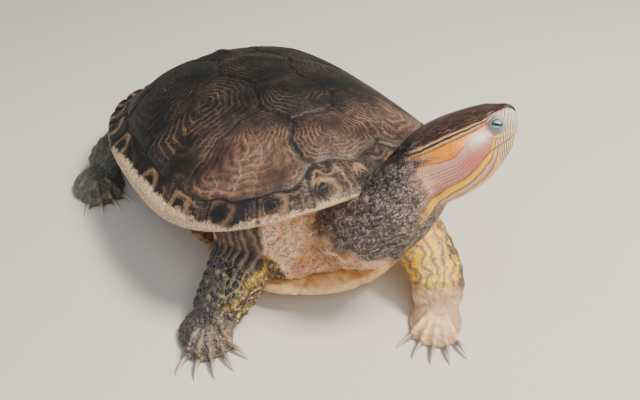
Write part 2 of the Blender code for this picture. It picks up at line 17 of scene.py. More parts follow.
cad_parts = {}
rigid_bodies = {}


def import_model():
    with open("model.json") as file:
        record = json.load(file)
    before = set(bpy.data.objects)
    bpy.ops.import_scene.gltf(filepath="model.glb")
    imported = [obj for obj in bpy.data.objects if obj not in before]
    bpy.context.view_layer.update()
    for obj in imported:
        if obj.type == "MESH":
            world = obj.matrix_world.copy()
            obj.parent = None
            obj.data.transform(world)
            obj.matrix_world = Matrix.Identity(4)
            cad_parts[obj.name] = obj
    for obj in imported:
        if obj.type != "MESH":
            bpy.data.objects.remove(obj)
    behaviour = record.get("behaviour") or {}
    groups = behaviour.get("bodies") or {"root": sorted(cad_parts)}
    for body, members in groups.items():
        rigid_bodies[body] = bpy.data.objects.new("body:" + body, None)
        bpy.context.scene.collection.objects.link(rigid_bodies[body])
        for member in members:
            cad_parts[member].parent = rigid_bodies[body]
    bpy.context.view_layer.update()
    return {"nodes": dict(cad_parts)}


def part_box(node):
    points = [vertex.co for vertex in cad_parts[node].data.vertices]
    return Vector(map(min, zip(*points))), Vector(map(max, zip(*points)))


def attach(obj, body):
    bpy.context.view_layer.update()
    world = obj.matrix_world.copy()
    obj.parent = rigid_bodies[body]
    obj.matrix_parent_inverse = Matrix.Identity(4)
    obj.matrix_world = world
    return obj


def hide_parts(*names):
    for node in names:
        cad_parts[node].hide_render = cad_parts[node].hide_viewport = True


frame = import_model()
print("solids loaded:", len(frame["nodes"]))

# %% [markdown]
# Small helpers come first. Blender's operators act on whatever is selected, so one helper selects
# just the objects it is given. Others read and write all the points of a mesh at once with numpy,
# which is how a hand-sculpted form can be written as a formula.

# %% Helpers for objects and points
MM = 0.001


def pick(*objects):
    """Selects only these objects. The last one is active."""
    for obj in bpy.context.view_layer.objects:
        obj.select_set(False)
    for obj in objects:
        obj.select_set(True)
    bpy.context.view_layer.objects.active = objects[-1]


def points(obj):
    """The places of all the points of a mesh, one row each."""
    flat = np.empty(len(obj.data.vertices) * 3)
    obj.data.vertices.foreach_get("co", flat)
    return flat.reshape(-1, 3)


def normals(obj):
    flat = np.empty(len(obj.data.vertices) * 3)
    obj.data.vertices.foreach_get("normal", flat)
    return flat.reshape(-1, 3)


def move_points(obj, places):
    obj.data.vertices.foreach_set("co", np.ascontiguousarray(places, float).ravel())
    obj.data.update()


def note(obj, name, values):
    """Keeps one number, or one direction or colour, for each point of a mesh."""
    values = np.asarray(values, float)
    kind, field = ("FLOAT", "value") if values.ndim == 1 else ("FLOAT_VECTOR", "vector")
    found = obj.data.attributes.get(name) or obj.data.attributes.new(name, kind, "POINT")
    found.data.foreach_set(field, values.astype(np.float32).ravel())


def recall(obj, name):
    """Reads back the numbers that note kept."""
    flat = np.empty(len(obj.data.vertices), np.float32)
    obj.data.attributes[name].data.foreach_get("value", flat)
    return flat.astype(float)


def finish_modifiers(obj):
    pick(obj)
    for modifier in list(obj.modifiers):
        bpy.ops.object.modifier_apply(modifier=modifier.name)


def step(low, high, x):
    """0 below low, 1 above high, and an S-curve between. low may be the larger."""
    t = np.clip((np.asarray(x, float) - low) / (high - low), 0, 1)
    return t * t * (3 - 2 * t)


def bump(x, middle, width):
    """A bell: 1 at the middle, and little is left two widths away."""
    return np.exp(-(((x - middle) / width) ** 2))


def through(keys, x):
    """A smooth curve through (x, value) keys, which doesn't overshoot them."""
    xs, ys = (np.array(column, float) for column in zip(*keys))
    slopes = np.diff(ys) / np.diff(xs)
    inner = np.where(slopes[1:] * slopes[:-1] > 0,
                     2 * slopes[1:] * slopes[:-1] / (slopes[1:] + slopes[:-1] + 1e-30), 0)
    tangents = np.concatenate([slopes[:1], inner, slopes[-1:]])
    x = np.clip(np.asarray(x, float), xs[0], xs[-1])
    i = np.clip(np.searchsorted(xs, x, side="right") - 1, 0, len(xs) - 2)
    h = xs[i + 1] - xs[i]
    t = (x - xs[i]) / h
    return (ys[i] * (1 + 2 * t) * (1 - t) ** 2 + h * tangents[i] * t * (1 - t) ** 2
            + ys[i + 1] * t * t * (3 - 2 * t) + h * tangents[i + 1] * t * t * (t - 1))


print("one millimetre:", MM, "m")


# %% Helpers for colours and nodes
def colour(code):
    """Linear red, green and blue from an sRGB hex value."""
    parts = [int(code[i:i + 2], 16) / 255 for i in (1, 3, 5)]
    return tuple(c / 12.92 if c <= 0.04045 else ((c + 0.055) / 1.055) ** 2.4 for c in parts) + (1.0,)


def add(kind, *inputs, out=None, stops=(), **named):
    """Adds a node to the tree in hand and gives one of its outputs, the first unless out names it.
    Inputs are values or other nodes' outputs, in the order of the node's sockets, or by a name that
    starts with a capital. The other names are settings, and stops are the colours along a ramp."""
    node = tree.nodes.new(kind if "Node" in kind else "ShaderNode" + kind)
    for name, value in named.items():
        if name[0].islower():
            setattr(node, name, value)
    wanted = list(zip([socket for socket in node.inputs if socket.enabled], inputs))
    wanted += [(node.inputs[name.replace("_", " ")], value) for name, value in named.items()
               if name[0].isupper()]
    for socket, value in wanted:
        if isinstance(value, bpy.types.NodeSocket):
            tree.links.new(value, socket)
        else:
            socket.default_value = value
    for _ in stops[2:]:
        node.color_ramp.elements.new(0.5)
    for number, (place, code) in enumerate(stops):
        node.color_ramp.elements[number].position = place
        node.color_ramp.elements[number].color = colour(code)
    return node.outputs[out] if out else next((socket for socket in node.outputs if socket.enabled), None)


def new_material(name, roughness, **sockets):
    """A Principled material, its tree and its shader, with plain values on the shader's own sockets."""
    made = bpy.data.materials.new(name)
    made.use_nodes = True
    shader = made.node_tree.nodes["Principled BSDF"]
    shader.inputs["Roughness"].default_value = roughness
    for socket, value in sockets.items():
        shader.inputs[socket.replace("_", " ")].default_value = value
    return made, made.node_tree, shader


print("helpers ready")

# %% [markdown]
# The camera and lights are set before any modelling, so that every trial render has the same view.
# It looks down over the turtle's right shoulder. A broad key light stands for the sun on the cheek
# and the near costal scute, a wide fill softens the shadows, and a low light reaches the underside.

# %% Camera, light and floor
VIEW_TURN, VIEW_DROP = math.radians(59.8), math.radians(36.8)
SENSOR, LENS = 36.0, 39.375
CAMERA_PLACE = Vector((0.3991, -0.2037, 0.3509))
towards = Vector((math.sin(VIEW_TURN) * math.cos(VIEW_DROP), -math.cos(VIEW_TURN) * math.cos(VIEW_DROP),
                  math.sin(VIEW_DROP)))
across = Vector((math.cos(VIEW_TURN), math.sin(VIEW_TURN), 0))
upward = towards.cross(across)

bpy.ops.object.camera_add(location=CAMERA_PLACE)
camera = bpy.context.object
camera.rotation_euler = Matrix((across, upward, towards)).transposed().to_euler()
camera.data.sensor_width = SENSOR
camera.data.lens = LENS
camera.data.clip_start = 0.01
bpy.context.scene.camera = camera


def soft_light(name, direction, distance, size, power, code):
    """A square area light that looks at the turtle from a direction."""
    aim = Vector((0.06, 0.0, 0.06))
    place = aim + Vector(direction).normalized() * distance
    bpy.ops.object.light_add(type="AREA", location=place)
    lamp = bpy.context.object
    lamp.name = name
    lamp.rotation_euler = (place - aim).to_track_quat("Z", "Y").to_euler()
    lamp.data.size = size
    lamp.data.energy = power
    lamp.data.color = colour(code)[:3]


soft_light("key_light", across * 0.62 + Vector((0, 0, 1.0)) + towards * 0.25, 1.5, 0.40, 46, "#FFF1DC")
soft_light("fill_light", across * -0.8 + Vector((0, 0, 0.7)) + towards * 0.8, 2.0, 2.0, 8, "#E8F0FF")
soft_light("low_light", across * 0.3 + Vector((0, 0, 0.08)) + towards * 1.0, 2.0, 1.2, 20, "#FFF8EE")

world = bpy.data.worlds.new("studio")
bpy.context.scene.world = world
world.use_nodes = True
world.node_tree.nodes["Background"].inputs["Color"].default_value = colour("#DCE3EA")
world.node_tree.nodes["Background"].inputs["Strength"].default_value = 0.27

bpy.ops.mesh.primitive_plane_add(size=12, location=(0, 0, 0))
floor = bpy.context.object
floor.name = "floor"
floor_paint, tree, shader = new_material("matt_pale_floor", 0.8)
shader.inputs["Base Color"].default_value = colour("#CFCDC8")
floor.data.materials.append(floor_paint)
print("camera at", [round(v, 3) for v in camera.location])

# %% [markdown]
# The shell's form is a formula. Seen from above a slider's carapace is a squared oval, and each
# section from its peak to its rim is a flattened arch that flares at the edge. The driving sizes
# below are those of the solid it dresses, and its place comes from the carapace's box in the frame.

# %% The shell's form
SHELL_LENGTH, SHELL_WIDTH, SHELL_HEIGHT = 0.300, 0.223, 0.116
PLAN_FRONT, PLAN_BACK = (0.71, 0.80), (0.77, 0.77)
DOME_SPREAD, DOME_ROUNDNESS, PEAK_AHEAD = 1.75, 0.75, 0.010
EDGE_FLARE, BACK_FLARE = 0.035, 0.110
RIM_SIDE, RIM_RISE_FRONT, RIM_RISE_BACK = 0.056, 0.033, -0.002
SHELF, PLATE = 0.015, 0.0050
PITCH, REST_X = math.radians(3.2), -0.102


def signed_power(value, exponent):
    return np.sign(value) * np.abs(value) ** exponent


def rim_place(turn):
    """The carapace's edge in the shell's own axes. turn is 0 at the front and grows to the left."""
    c, s = np.cos(turn), np.sin(turn)
    ahead = c > 0
    x = SHELL_LENGTH / 2 * signed_power(c, np.where(ahead, PLAN_FRONT[0], PLAN_BACK[0]))
    y = SHELL_WIDTH / 2 * signed_power(s, np.where(ahead, PLAN_FRONT[1], PLAN_BACK[1]))
    z = RIM_SIDE + RIM_RISE_FRONT * np.maximum(0, c) ** 2 + RIM_RISE_BACK * np.maximum(0, -c) ** 2
    return np.stack([x, y, z], -1)


def dome_place(turn, out, down=0.0):
    """The carapace's outer face: out is 0 at the peak and 1 at the rim. down gives its inner face."""
    edge = rim_place(turn)
    flare = EDGE_FLARE + BACK_FLARE * np.maximum(0, -np.cos(turn))
    lift = (1 - out**DOME_SPREAD) ** DOME_ROUNDNESS - flare * step(0.55, 0.88, out) * step(1.0, 0.92, out)
    x = edge[..., 0] * out + PEAK_AHEAD * (1 - out)
    y = edge[..., 1] * out
    return np.stack([x, y, edge[..., 2] + (SHELL_HEIGHT - edge[..., 2]) * lift - down], -1)


def over_plan(x, y):
    """The turn and out of the dome over a place of its plan."""
    x, y = np.broadcast_arrays(np.asarray(x, float), np.asarray(y, float))
    low, high = np.zeros_like(x), np.full_like(x, 1.2)
    for _ in range(34):
        out = np.maximum((low + high) / 2, 1e-6)
        along = (x - PEAK_AHEAD * (1 - out)) / (SHELL_LENGTH / 2) / out
        aside = y / (SHELL_WIDTH / 2) / out
        ends = np.where(along > 0, PLAN_FRONT[0], PLAN_BACK[0])
        sides = np.where(along > 0, PLAN_FRONT[1], PLAN_BACK[1])
        outside = np.abs(along) ** (2 / ends) + np.abs(aside) ** (2 / sides) > 1
        low, high = np.where(outside, out, low), np.where(outside, high, out)
    return np.arctan2(signed_power(aside, 1 / sides), signed_power(along, 1 / ends)), np.minimum(out, 1.0)


def pitched(places):
    """Nose-up, about the place where the plastron rests."""
    c, s = math.cos(PITCH), math.sin(PITCH)
    x, y, z = places[..., 0] - REST_X, places[..., 1], places[..., 2]
    return np.stack([x * c - z * s + REST_X, y, x * s + z * c], -1)


whole_turn = np.linspace(0, 2 * math.pi, 721)
rim_now = pitched(rim_place(whole_turn))
shell_low, shell_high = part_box("carapace")
SHIFT = np.array([(shell_low.x + shell_high.x) / 2 - (rim_now[:, 0].min() + rim_now[:, 0].max()) / 2,
                  (shell_low.y + shell_high.y) / 2, 0.0])


def to_world(places):
    return pitched(places) + SHIFT


print("shell placed by", (SHIFT / MM).round(2), "mm")

# %% [markdown]
# A slider wears thirty-eight horn scutes over the bone: a narrow nuchal at the front, five
# vertebrals down the middle, four costals on each side and twelve marginals round each edge. The
# seams between them are drawn as curves on the dome, and each point of the shell then knows how far
# the nearest seam is and where the oldest part of its own scute, the areola, lies.

# %% Where the seams run
VERTEBRAL_EDGE = [(-0.140, 0.020), (-0.115, 0.024), (-0.094, 0.0165), (-0.068, 0.0265), (-0.038, 0.0175),
                  (-0.010, 0.0275), (0.021, 0.0170), (0.056, 0.0262), (0.077, 0.0165), (0.104, 0.0275),
                  (0.120, 0.0235), (0.130, 0.0180)]
VERTEBRAL_SEAMS = [-0.096, -0.038, 0.021, 0.077]
COSTAL_SEAMS = [-0.070, -0.010, 0.056]
SEAM_BOW = 0.144
COSTAL_LEAN, LEAN_FROM, LEAN_OVER = 0.012, 0.026, 0.062
MARGINAL_SEAMS = [math.radians(a) for a in (1.6, 15, 34, 53, 72, 88, 103, 117, 130, 143, 156, 168.5)]
MARGINAL_INSIDE = [(0, 0.835), (0.10, 0.80), (0.19, 0.80), (0.30, 0.86), (0.45, 0.895), (0.90, 0.895),
                   (1.35, 0.875), (2.00, 0.86), (2.60, 0.865), (3.1416, 0.86)]


def costal_lean(y):
    """How far costal seams have leaned forward, a distance out from the middle line."""
    return COSTAL_LEAN * np.clip((np.abs(y) - LEAN_FROM) / LEAN_OVER, 0, 1.3) ** 2


def from_front(turn):
    """The angle from the front of the shell, either way round."""
    return np.abs(np.arctan2(np.sin(turn), np.cos(turn)))


def marginal_edge(turn):
    """How far out the marginals begin."""
    wave = 0.006 * np.sin(turn * 17 + 0.7) + 0.004 * np.sin(turn * 31)
    return through(MARGINAL_INSIDE, from_front(turn)) + wave


def wobble(x, seed, size=0.0009):
    """A small waver that keeps seams from being ruled lines."""
    return size * (np.sin(x * 310 + seed * 2.1) + 0.6 * np.sin(x * 730 + seed * 5.3))


def seam_places():
    """Points along every seam of the carapace, in the shell's own axes."""
    runs = []
    for side in (-1, 1):
        x = np.linspace(-0.139, 0.128, 900)
        runs.append(dome_place(*over_plan(x, side * (through(VERTEBRAL_EDGE, x) + wobble(x, side)))))
        for n, seam in enumerate(COSTAL_SEAMS):
            y = np.linspace(0.017, 0.108, 300)
            lean = seam + costal_lean(y)
            turn, out = over_plan(lean + wobble(y, n), side * y)
            inside = (out < marginal_edge(turn)) & (y > through(VERTEBRAL_EDGE, lean))
            runs.append(dome_place(turn[inside], out[inside]))
        for n, seam in enumerate(MARGINAL_SEAMS):
            turn = np.full(90, side * seam)
            out = np.linspace(marginal_edge(turn[:1])[0], 1, 90)
            runs.append(dome_place(turn + wobble(out, n, 0.004), out))
    for n, seam in enumerate(VERTEBRAL_SEAMS):
        half = float(through(VERTEBRAL_EDGE, seam))
        y = np.linspace(-half, half, 120)
        bowed = seam + SEAM_BOW * (half**2 - y**2) / half
        runs.append(dome_place(*over_plan(bowed + wobble(y, n + 9), y)))
    turn = np.linspace(-math.pi, math.pi, 2600)
    runs.append(dome_place(turn, marginal_edge(turn)))
    return np.concatenate(runs)


seams = seam_places()
seam_tree = kdtree.KDTree(len(seams))
for i, place in enumerate(seams):
    seam_tree.insert(place, i)
seam_tree.balance()
print("seam points:", len(seams))

# %% [markdown]
# The carapace starts as a flat grid. Its square is wrapped to a disc, ring by ring, and laid over
# the dome with its points evenly spaced, about a millimetre apart, so that grooves and growth rings
# can be real relief. The open edge is then extruded round the rim, under the shelf and up inside.

# %% The carapace's surface
GRID = 262
bpy.ops.mesh.primitive_grid_add(x_subdivisions=GRID, y_subdivisions=GRID, size=2)
shell = bpy.context.object
shell.name = "carapace_scutes"
flat = points(shell)
u, v = flat[:, 0], flat[:, 1]
ring = np.maximum(np.abs(u), np.abs(v))
safe = np.maximum(ring, 1e-9)
eighth = math.pi / 4
wide = np.abs(u) >= np.abs(v)
angle = np.where(wide, np.where(u >= 0, eighth * v / safe, math.pi + eighth * -v / safe),
                 np.where(v >= 0, 2 * eighth - eighth * u / safe, -2 * eighth + eighth * u / safe))
angle = np.mod(angle, 2 * math.pi)
rim_path = rim_place(whole_turn)
rim_length = np.concatenate([[0], np.cumsum(np.linalg.norm(np.diff(rim_path, axis=0), axis=1))])
turn = np.interp(angle, rim_length / rim_length[-1] * 2 * math.pi, whole_turn)
slope_out = np.linspace(0, 1, 400)
slope_path = dome_place(np.full(400, math.pi / 2), slope_out)
slope_length = np.concatenate([[0], np.cumsum(np.linalg.norm(np.diff(slope_path, axis=0), axis=1))])
out = np.interp(ring, slope_length / slope_length[-1], slope_out)
base = dome_place(turn, out)
note(shell, "turn", turn)
print("grid points:", len(flat))


# %% Relief of the scutes
COSTALS_FROM, MARGINALS_FROM = 10, 20
SEAM_DEPTH, SCUTE_SWELL, RING_DEPTH = 0.85, 0.75, 0.24


def scute_facts(turn, out, places):
    """For each point: how far a seam is, its ring and spoke about the areola, its scute's number
    and how far the areola is."""
    x, y = places[:, 0], places[:, 1]
    side = np.where(y < 0, -1, 1)
    half_turn = from_front(turn)
    is_marginal = out > marginal_edge(turn)
    is_vertebral = ~is_marginal & (np.abs(y) < through(VERTEBRAL_EDGE, x))
    marginal = np.searchsorted(MARGINAL_SEAMS, half_turn)
    vertebral = np.searchsorted(VERTEBRAL_SEAMS, x)
    costal = np.searchsorted(COSTAL_SEAMS, x - costal_lean(y))
    number = np.where(is_marginal, MARGINALS_FROM + marginal,
                      np.where(is_vertebral, vertebral, COSTALS_FROM + costal))
    middle_turns = np.array([0.0] + [a + 0.72 * (b - a) for a, b in
                                     zip(MARGINAL_SEAMS, MARGINAL_SEAMS[1:] + [math.pi])])
    marginal_heart = dome_place(side * middle_turns[marginal], np.full(len(x), 0.945))
    vertebral_heart_x = np.array([-0.116, -0.074, -0.016, 0.040, 0.098])
    vertebral_heart = dome_place(*over_plan(vertebral_heart_x[vertebral], np.zeros(len(x))))
    costal_heart_x = np.array([-0.090, -0.046, 0.014, 0.072])
    costal_heart_y = np.array([0.046, 0.050, 0.052, 0.040])
    costal_heart = dome_place(*over_plan(costal_heart_x[costal], side * costal_heart_y[costal]))
    heart = np.where(is_marginal[:, None], marginal_heart,
                     np.where(is_vertebral[:, None], vertebral_heart, costal_heart))
    seam = np.array([seam_tree.find(p)[2] for p in places])
    from_heart = places - heart
    reach = np.linalg.norm(from_heart, axis=1)
    fall = np.hypot(from_heart[:, 1], from_heart[:, 2]) * np.sign(from_heart[:, 1] * side)
    spoke = np.arctan2(fall, from_heart[:, 0])
    return seam, reach / (reach + seam * 1.15 + 1e-6), spoke, number * side, reach


seam, ringed, spoke, number, reach = scute_facts(turn, out, base)
rng = np.random.default_rng(7)
tone_of = {n: rng.uniform(-1, 1) for n in sorted(set(number.tolist()))}
tone = np.array([tone_of[n] for n in number])
kind = np.abs(number)
big = kind < MARGINALS_FROM
seam_mm = seam / MM
rings_per_scute = np.where(big, 9.0, 4.0)
age = ringed + 0.012 * np.sin(spoke * 5 + tone * 9) + 0.008 * np.sin(spoke * 13 + tone * 5)
age += 0.012 * np.sin(base[:, 0] * 210 + tone * 5) * np.sin(base[:, 1] * 170 + tone * 11)
worn = 0.6 + 0.4 * np.sin(base[:, 0] * 62 + tone * 7) * np.sin(base[:, 1] * 55 + 1 + tone * 4)
height = -SEAM_DEPTH * bump(seam_mm, 0, 0.85) + SCUTE_SWELL * (1 - np.exp(-seam_mm / 4.5))
height += RING_DEPTH * worn * np.sin(2 * math.pi * age * rings_per_scute) * step(0.5, 3.0, seam_mm)
height += np.where(big, 0.55, 0.2) * bump(reach / MM, 0, 7.5)
keel = bump(base[:, 1] / MM, 0, 5.5) * step(0.90, 0.80, out)
height += keel * (0.5 + 1.1 * (1 - ringed)) * (kind < COSTALS_FROM)


def edge_notch(turn):
    """How deeply the rear edge is notched where two marginals meet, as a share of the radius."""
    half_turn = from_front(turn)
    depth = sum(bump(half_turn, seam_turn, 0.030) for seam_turn in MARGINAL_SEAMS[5:] + [math.pi])
    return 0.014 * depth * step(1.75, 2.5, half_turn)


move_points(shell, base)
shell_normal = normals(shell)
shell_normal *= np.sign(shell_normal[:, 2:3] + 1e-9)
edge_fade = step(1.0, 0.985, out)
relieved = base + shell_normal * (height * MM * edge_fade)[:, None]
relieved[:, :2] *= (1 - edge_notch(turn) * step(0.90, 1.0, out))[:, None]
move_points(shell, relieved)
note(shell, "seam", seam_mm)
note(shell, "ringed", age * rings_per_scute)
note(shell, "spoke", spoke)
print("scutes:", len(tone_of), "points:", len(turn))

# %% The rim, the shelf and the inside
RIM_RINGS = [(-0.0002, 0.0008), (0.0, 0.0020), (0.0006, 0.0030), (0.0020, 0.0035), (0.0060, 0.0036),
             (0.0105, 0.0035), (SHELF, 0.0034)]


def pull_edge(obj, place_for):
    """Extrudes the open edge and moves its new points to place_for(turn)."""
    pick(obj)
    bpy.ops.object.mode_set(mode="EDIT")
    bpy.ops.mesh.select_all(action="DESELECT")
    bpy.ops.mesh.select_mode(type="EDGE")
    bpy.ops.mesh.select_non_manifold()
    bpy.ops.mesh.extrude_edges_move()
    bpy.ops.object.mode_set(mode="OBJECT")
    chosen = np.empty(len(obj.data.vertices), bool)
    obj.data.vertices.foreach_get("select", chosen)
    places = points(obj)
    places[chosen] = place_for(recall(obj, "turn")[chosen])
    move_points(obj, places)


def rim_ring(inward, down):
    """Makes a rule for a ring inward of the rim and below it."""
    def place_for(turn):
        edge = rim_place(turn)
        outward = edge[:, :2] / np.linalg.norm(edge[:, :2], axis=1, keepdims=True)
        edge[:, :2] = edge[:, :2] * (1 - edge_notch(turn))[:, None] - outward * inward
        edge[:, 2] -= down
        return edge
    return place_for


for inward, down in RIM_RINGS:
    pull_edge(shell, rim_ring(inward, down))
for share in (0.84, 0.72, 0.56, 0.38, 0.20, 0.06):
    pull_edge(shell, lambda turn, share=share: dome_place(turn, np.full(len(turn), share), PLATE))
pick(shell)
bpy.ops.object.mode_set(mode="EDIT")
bpy.ops.mesh.select_all(action="DESELECT")
bpy.ops.mesh.select_non_manifold()
bpy.ops.mesh.edge_face_add()
bpy.ops.mesh.select_all(action="SELECT")
bpy.ops.mesh.normals_make_consistent(inside=False)
bpy.ops.object.mode_set(mode="OBJECT")
bpy.ops.object.shade_smooth()
is_outer = np.arange(len(points(shell))) < len(flat)
note(shell, "under", np.where(is_outer, 0.0, 1.0))
unpitched = points(shell)
note(shell, "rest", unpitched)
move_points(shell, to_world(unpitched))
print("carapace faces:", len(shell.data.polygons))

# %% [markdown]
# Horn scutes are keratin: brown, half dull, and marked by what grew each year. Thin pale lines
# follow the growth rings, a net of finer ones crosses them, and the seams are nearly black. The
# edge wears a pale crust of dried algae, thickest along the right flank, and each marginal carries
# a dark eye-like spot. The rear, the top and the left side are painted in shade, near black, and
# their lines fade there. All of it is drawn from numbers kept on the points, so nothing can slide.

# %% Marks kept on the carapace
CRUST_FROM = [(-180, 1.006), (-122, 1.006), (-108, 0.998), (-98, 0.968), (-88, 0.940), (-79, 0.934),
              (-69, 0.945), (-57, 0.972), (-43, 0.984), (-15, 0.982), (0, 0.984), (40, 0.984), (75, 0.975),
              (100, 0.972), (125, 0.99), (180, 1.004)]
CRUST_FADE = 0.03


def with_underside(values, below):
    """Values of the outer face, followed by one value or more for the rim, the shelf and the inside."""
    return np.concatenate([values, np.broadcast_to(below, len(unpitched) - len(values))])


x, y = base[:, 0], base[:, 1]
all_turns = recall(shell, "turn")
crust_from = through(CRUST_FROM, np.degrees(np.arctan2(np.sin(all_turns), np.cos(all_turns))))
inward = np.hypot(*(rim_place(all_turns) - unpitched)[len(out):, :2].T)
crust_below = (1.0 - 0.9 * step(0.004, 0.012, inward)) * step(1.003, 0.985, crust_from[len(out):])
note(shell, "crust", with_underside((out - crust_from[:len(out)]) / CRUST_FADE, crust_below))
note(shell, "spot", with_underside(np.where(kind >= MARGINALS_FROM, reach / MM / 10, 9.0), 9.0))
# Painted shade: the rear of the shell, and its top and left side ahead of that, are darkened as if
# something shaded them.
shade = np.maximum(step(0.060, -0.040, x + 0.45 * (y + 0.03)),
                   0.9 * step(0.105, 0.045, x) * step(-0.052, -0.030, y))
note(shell, "shade", with_underside(shade, 0.0))
blue = bump(x, 0.095, 0.032) * bump(y, -0.045, 0.040) * step(3.2, 0.6, seam_mm)
blue += 0.8 * bump(x, 0.104, 0.026) * bump(y, -0.062, 0.026) * (kind >= MARGINALS_FROM)
note(shell, "blue", with_underside(blue, 0.0))
warm = bump(x, 0.100, 0.034) * bump(y, -0.062, 0.034) * (kind >= COSTALS_FROM) * big
warm += 0.3 * bump(x, 0.105, 0.022) * bump(y, 0.0, 0.028) * (kind < COSTALS_FROM)
warm += 0.8 * bump(y, 0.075, 0.030) * bump(x, 0.105, 0.045)
note(shell, "warm", with_underside(warm, 0.0))
print("crusted points:", int((recall(shell, "crust") > 0.5).sum()))

# %% Horn of the carapace
horn, tree, shader = new_material("keratin_scutes_with_algae", 0.50, Specular_IOR_Level=0.4)
fact = {name: add("Attribute", attribute_name=name, out="Fac")
        for name in ("seam", "ringed", "spoke", "crust", "spot", "shade", "warm", "under", "blue")}
rest = add("Attribute", attribute_name="rest", out="Vector")
cloud = add("TexNoise", rest, 38.0, 5.0)
grain = add("TexNoise", rest, 260.0, 4.0, 0.65)
fine = add("TexNoise", rest, 1100.0, 3.0)
print("readings of the horn:", len(fact))


# %% Patterns drawn from readings
def painted(under, *coats):
    """Lays coats of colour over a colour. A coat is a colour and its shares, which are multiplied."""
    for cover, share, *others in coats:
        for other in others:
            share = add("Math", share, other, operation="MULTIPLY")
        layers = [colour(layer) if isinstance(layer, str) else layer for layer in (under, cover)]
        under = add("Mix", share, *layers, data_type="RGBA")
    return under


def summed(*parts):
    """The sum of some readings. A pair is a reading and its weight."""
    terms = [add("Math", *part, operation="MULTIPLY") if isinstance(part, tuple) else part
             for part in parts]
    total = terms[0]
    for term in terms[1:]:
        total = add("Math", total, term, operation="ADD")
    return total


def swing(noise, amount):
    """Noise, which lies about a half, made to lie about nothing."""
    return add("Math", add("Math", noise, 0.5, operation="SUBTRACT"), amount, operation="MULTIPLY")


def shaken(value, noise, amount):
    """A reading made uneven by noise."""
    return summed(value, swing(noise, amount))


def away(value, middle):
    """How far a reading is from a middle value."""
    return add("Math", add("Math", value, middle, operation="SUBTRACT"), operation="ABSOLUTE")


def saw(phase):
    """A half where phase passes a whole number, falling to 0 midway between two."""
    return away(add("Math", phase, operation="FRACT"), 0.5)


def pale_line(phase, low):
    """A thin line wherever phase passes a whole number."""
    return add("MapRange", saw(phase), low, 0.5)


def around_value(value, middle, width):
    """1 where value is at middle and 0 from width away."""
    return add("MapRange", away(value, middle), width, 0.0)


def wandering(places, scale, detail, reach):
    """Places pushed about by noise, so that what is drawn at them wanders."""
    push = add("TexNoise", places, scale, detail, out="Color")
    push = add("VectorMath", push, (reach, reach, reach), operation="MULTIPLY")
    return add("VectorMath", places, push, operation="ADD")


print("patterns ready")

# %% Growth rings and the net between them
ring_phase = shaken(fact["ringed"], grain, 1.1)
ring_lines = pale_line(ring_phase, 0.34)
dark_rings = pale_line(summed(ring_phase, 0.42), 0.34)
noise_wide = add("TexNoise", rest, 60.0, 2.0)
spoke_phase = summed((fact["spoke"], 2.6), (cloud, 3.4))
spoke_lines = pale_line(spoke_phase, 0.42)
net = add("TexVoronoi", wandering(rest, 150.0, 2.0, 0.011), 165.0, feature="DISTANCE_TO_EDGE")
net_lines = add("MapRange", net, 0.06, 0.01)
print("rings drawn")

# %% Brown horn, pale lines and dry algae
brown = add("ValToRGB", cloud,
    stops=[(0.28, "#171312"), (0.45, "#281F1B"), (0.58, "#392C26"), (0.78, "#4E3D34")])
# Over the brown go a warm patch, then painted shade near black where the shade mask lies, then dark grain.
base_horn = painted(brown,
    ("#76594C", fact["warm"], add("MapRange", cloud, 0.05, 0.6, 0, 0.85)),
    ("#0D1110", fact["shade"], 0.92),
    ("#151313", add("MapRange", grain, 0.46, 0.7, 0, 0.55)))
# The pale lines fade in the painted shade.
plain = add("Math", 1.0, add("Math", fact["shade"], 0.76, operation="MULTIPLY"), operation="SUBTRACT")
line_strength = add("Math", add("MapRange", cloud, 0.36, 0.6), plain, operation="MULTIPLY")
lines = add("Math", ring_lines, add("MapRange", noise_wide, 0.34, 0.58, 0, 0.72), operation="MULTIPLY")
lines = add("Math", lines, add("Math", net_lines, 0.3, operation="MULTIPLY"), operation="MAXIMUM")
warm_spokes = add("Math", spoke_lines, 0.75, operation="MULTIPLY")
warm_spokes = add("Math", warm_spokes, fact["warm"], operation="MULTIPLY")
lines = add("Math", lines, warm_spokes, operation="MAXIMUM")
line_tint = add("ValToRGB", noise_wide, stops=[(0.35, "#A0968E"), (0.5, "#AE9484"), (0.65, "#B48E6E")])
lined = painted(base_horn, (line_tint, lines, line_strength), ("#0E0D0D", dark_rings, 0.42))
halo = add("MapRange", away(summed(fact["spot"], (grain, 0.7)), 1.25), 0.34, 0.0, 0, 0.6)
spotted = painted(lined,
    ("#9A7C5E", halo),
    ("#0E1114", add("MapRange", shaken(fact["spot"], grain, 1.5), 0.72, 0.3, 0, 0.9)),
    ("#121A24", fact["blue"], 0.9))
seamed = painted(spotted, ("#0F0F10", add("MapRange", fact["seam"], 0.95, 0.25, 0, 0.8)))
patchy = shaken(swing(grain, 2.2), noise_wide, 2.0)
crust_edge = add("MapRange", summed(fact["crust"], patchy), 0.15, 0.85)
crust_tint = add("ValToRGB", fine,
    stops=[(0.3, "#7A6450"), (0.44, "#C0A282"), (0.58, "#E8CCA8"), (0.8, "#F6E6CC")])
crusted = painted(seamed, (crust_tint, crust_edge))
finished = painted(crusted,
    ("#8A6E50", fact["under"], add("Math", 1.0, crust_edge, operation="SUBTRACT")))
tree.links.new(finished, shader.inputs["Base Color"])
relief = summed((grain, 0.5), (fine, summed(0.25, crust_edge)))
relief = summed(relief, (lines, 0.25))
tree.links.new(add("Bump", Height=relief, Distance=0.0009, Strength=0.75), shader.inputs["Normal"])
shell.data.materials.append(horn)
print("carapace coloured")

# %% [markdown]
# One skin covers everything soft. Copies of the flesh solids are swollen by half a millimetre so
# that they touch, turned into one closed surface, and smoothed while the form is kept. The eyes'
# copies fill their sockets, which are carved again below. The skin is dense on the head, where the
# animal's character is, and coarse where the shell hides it.

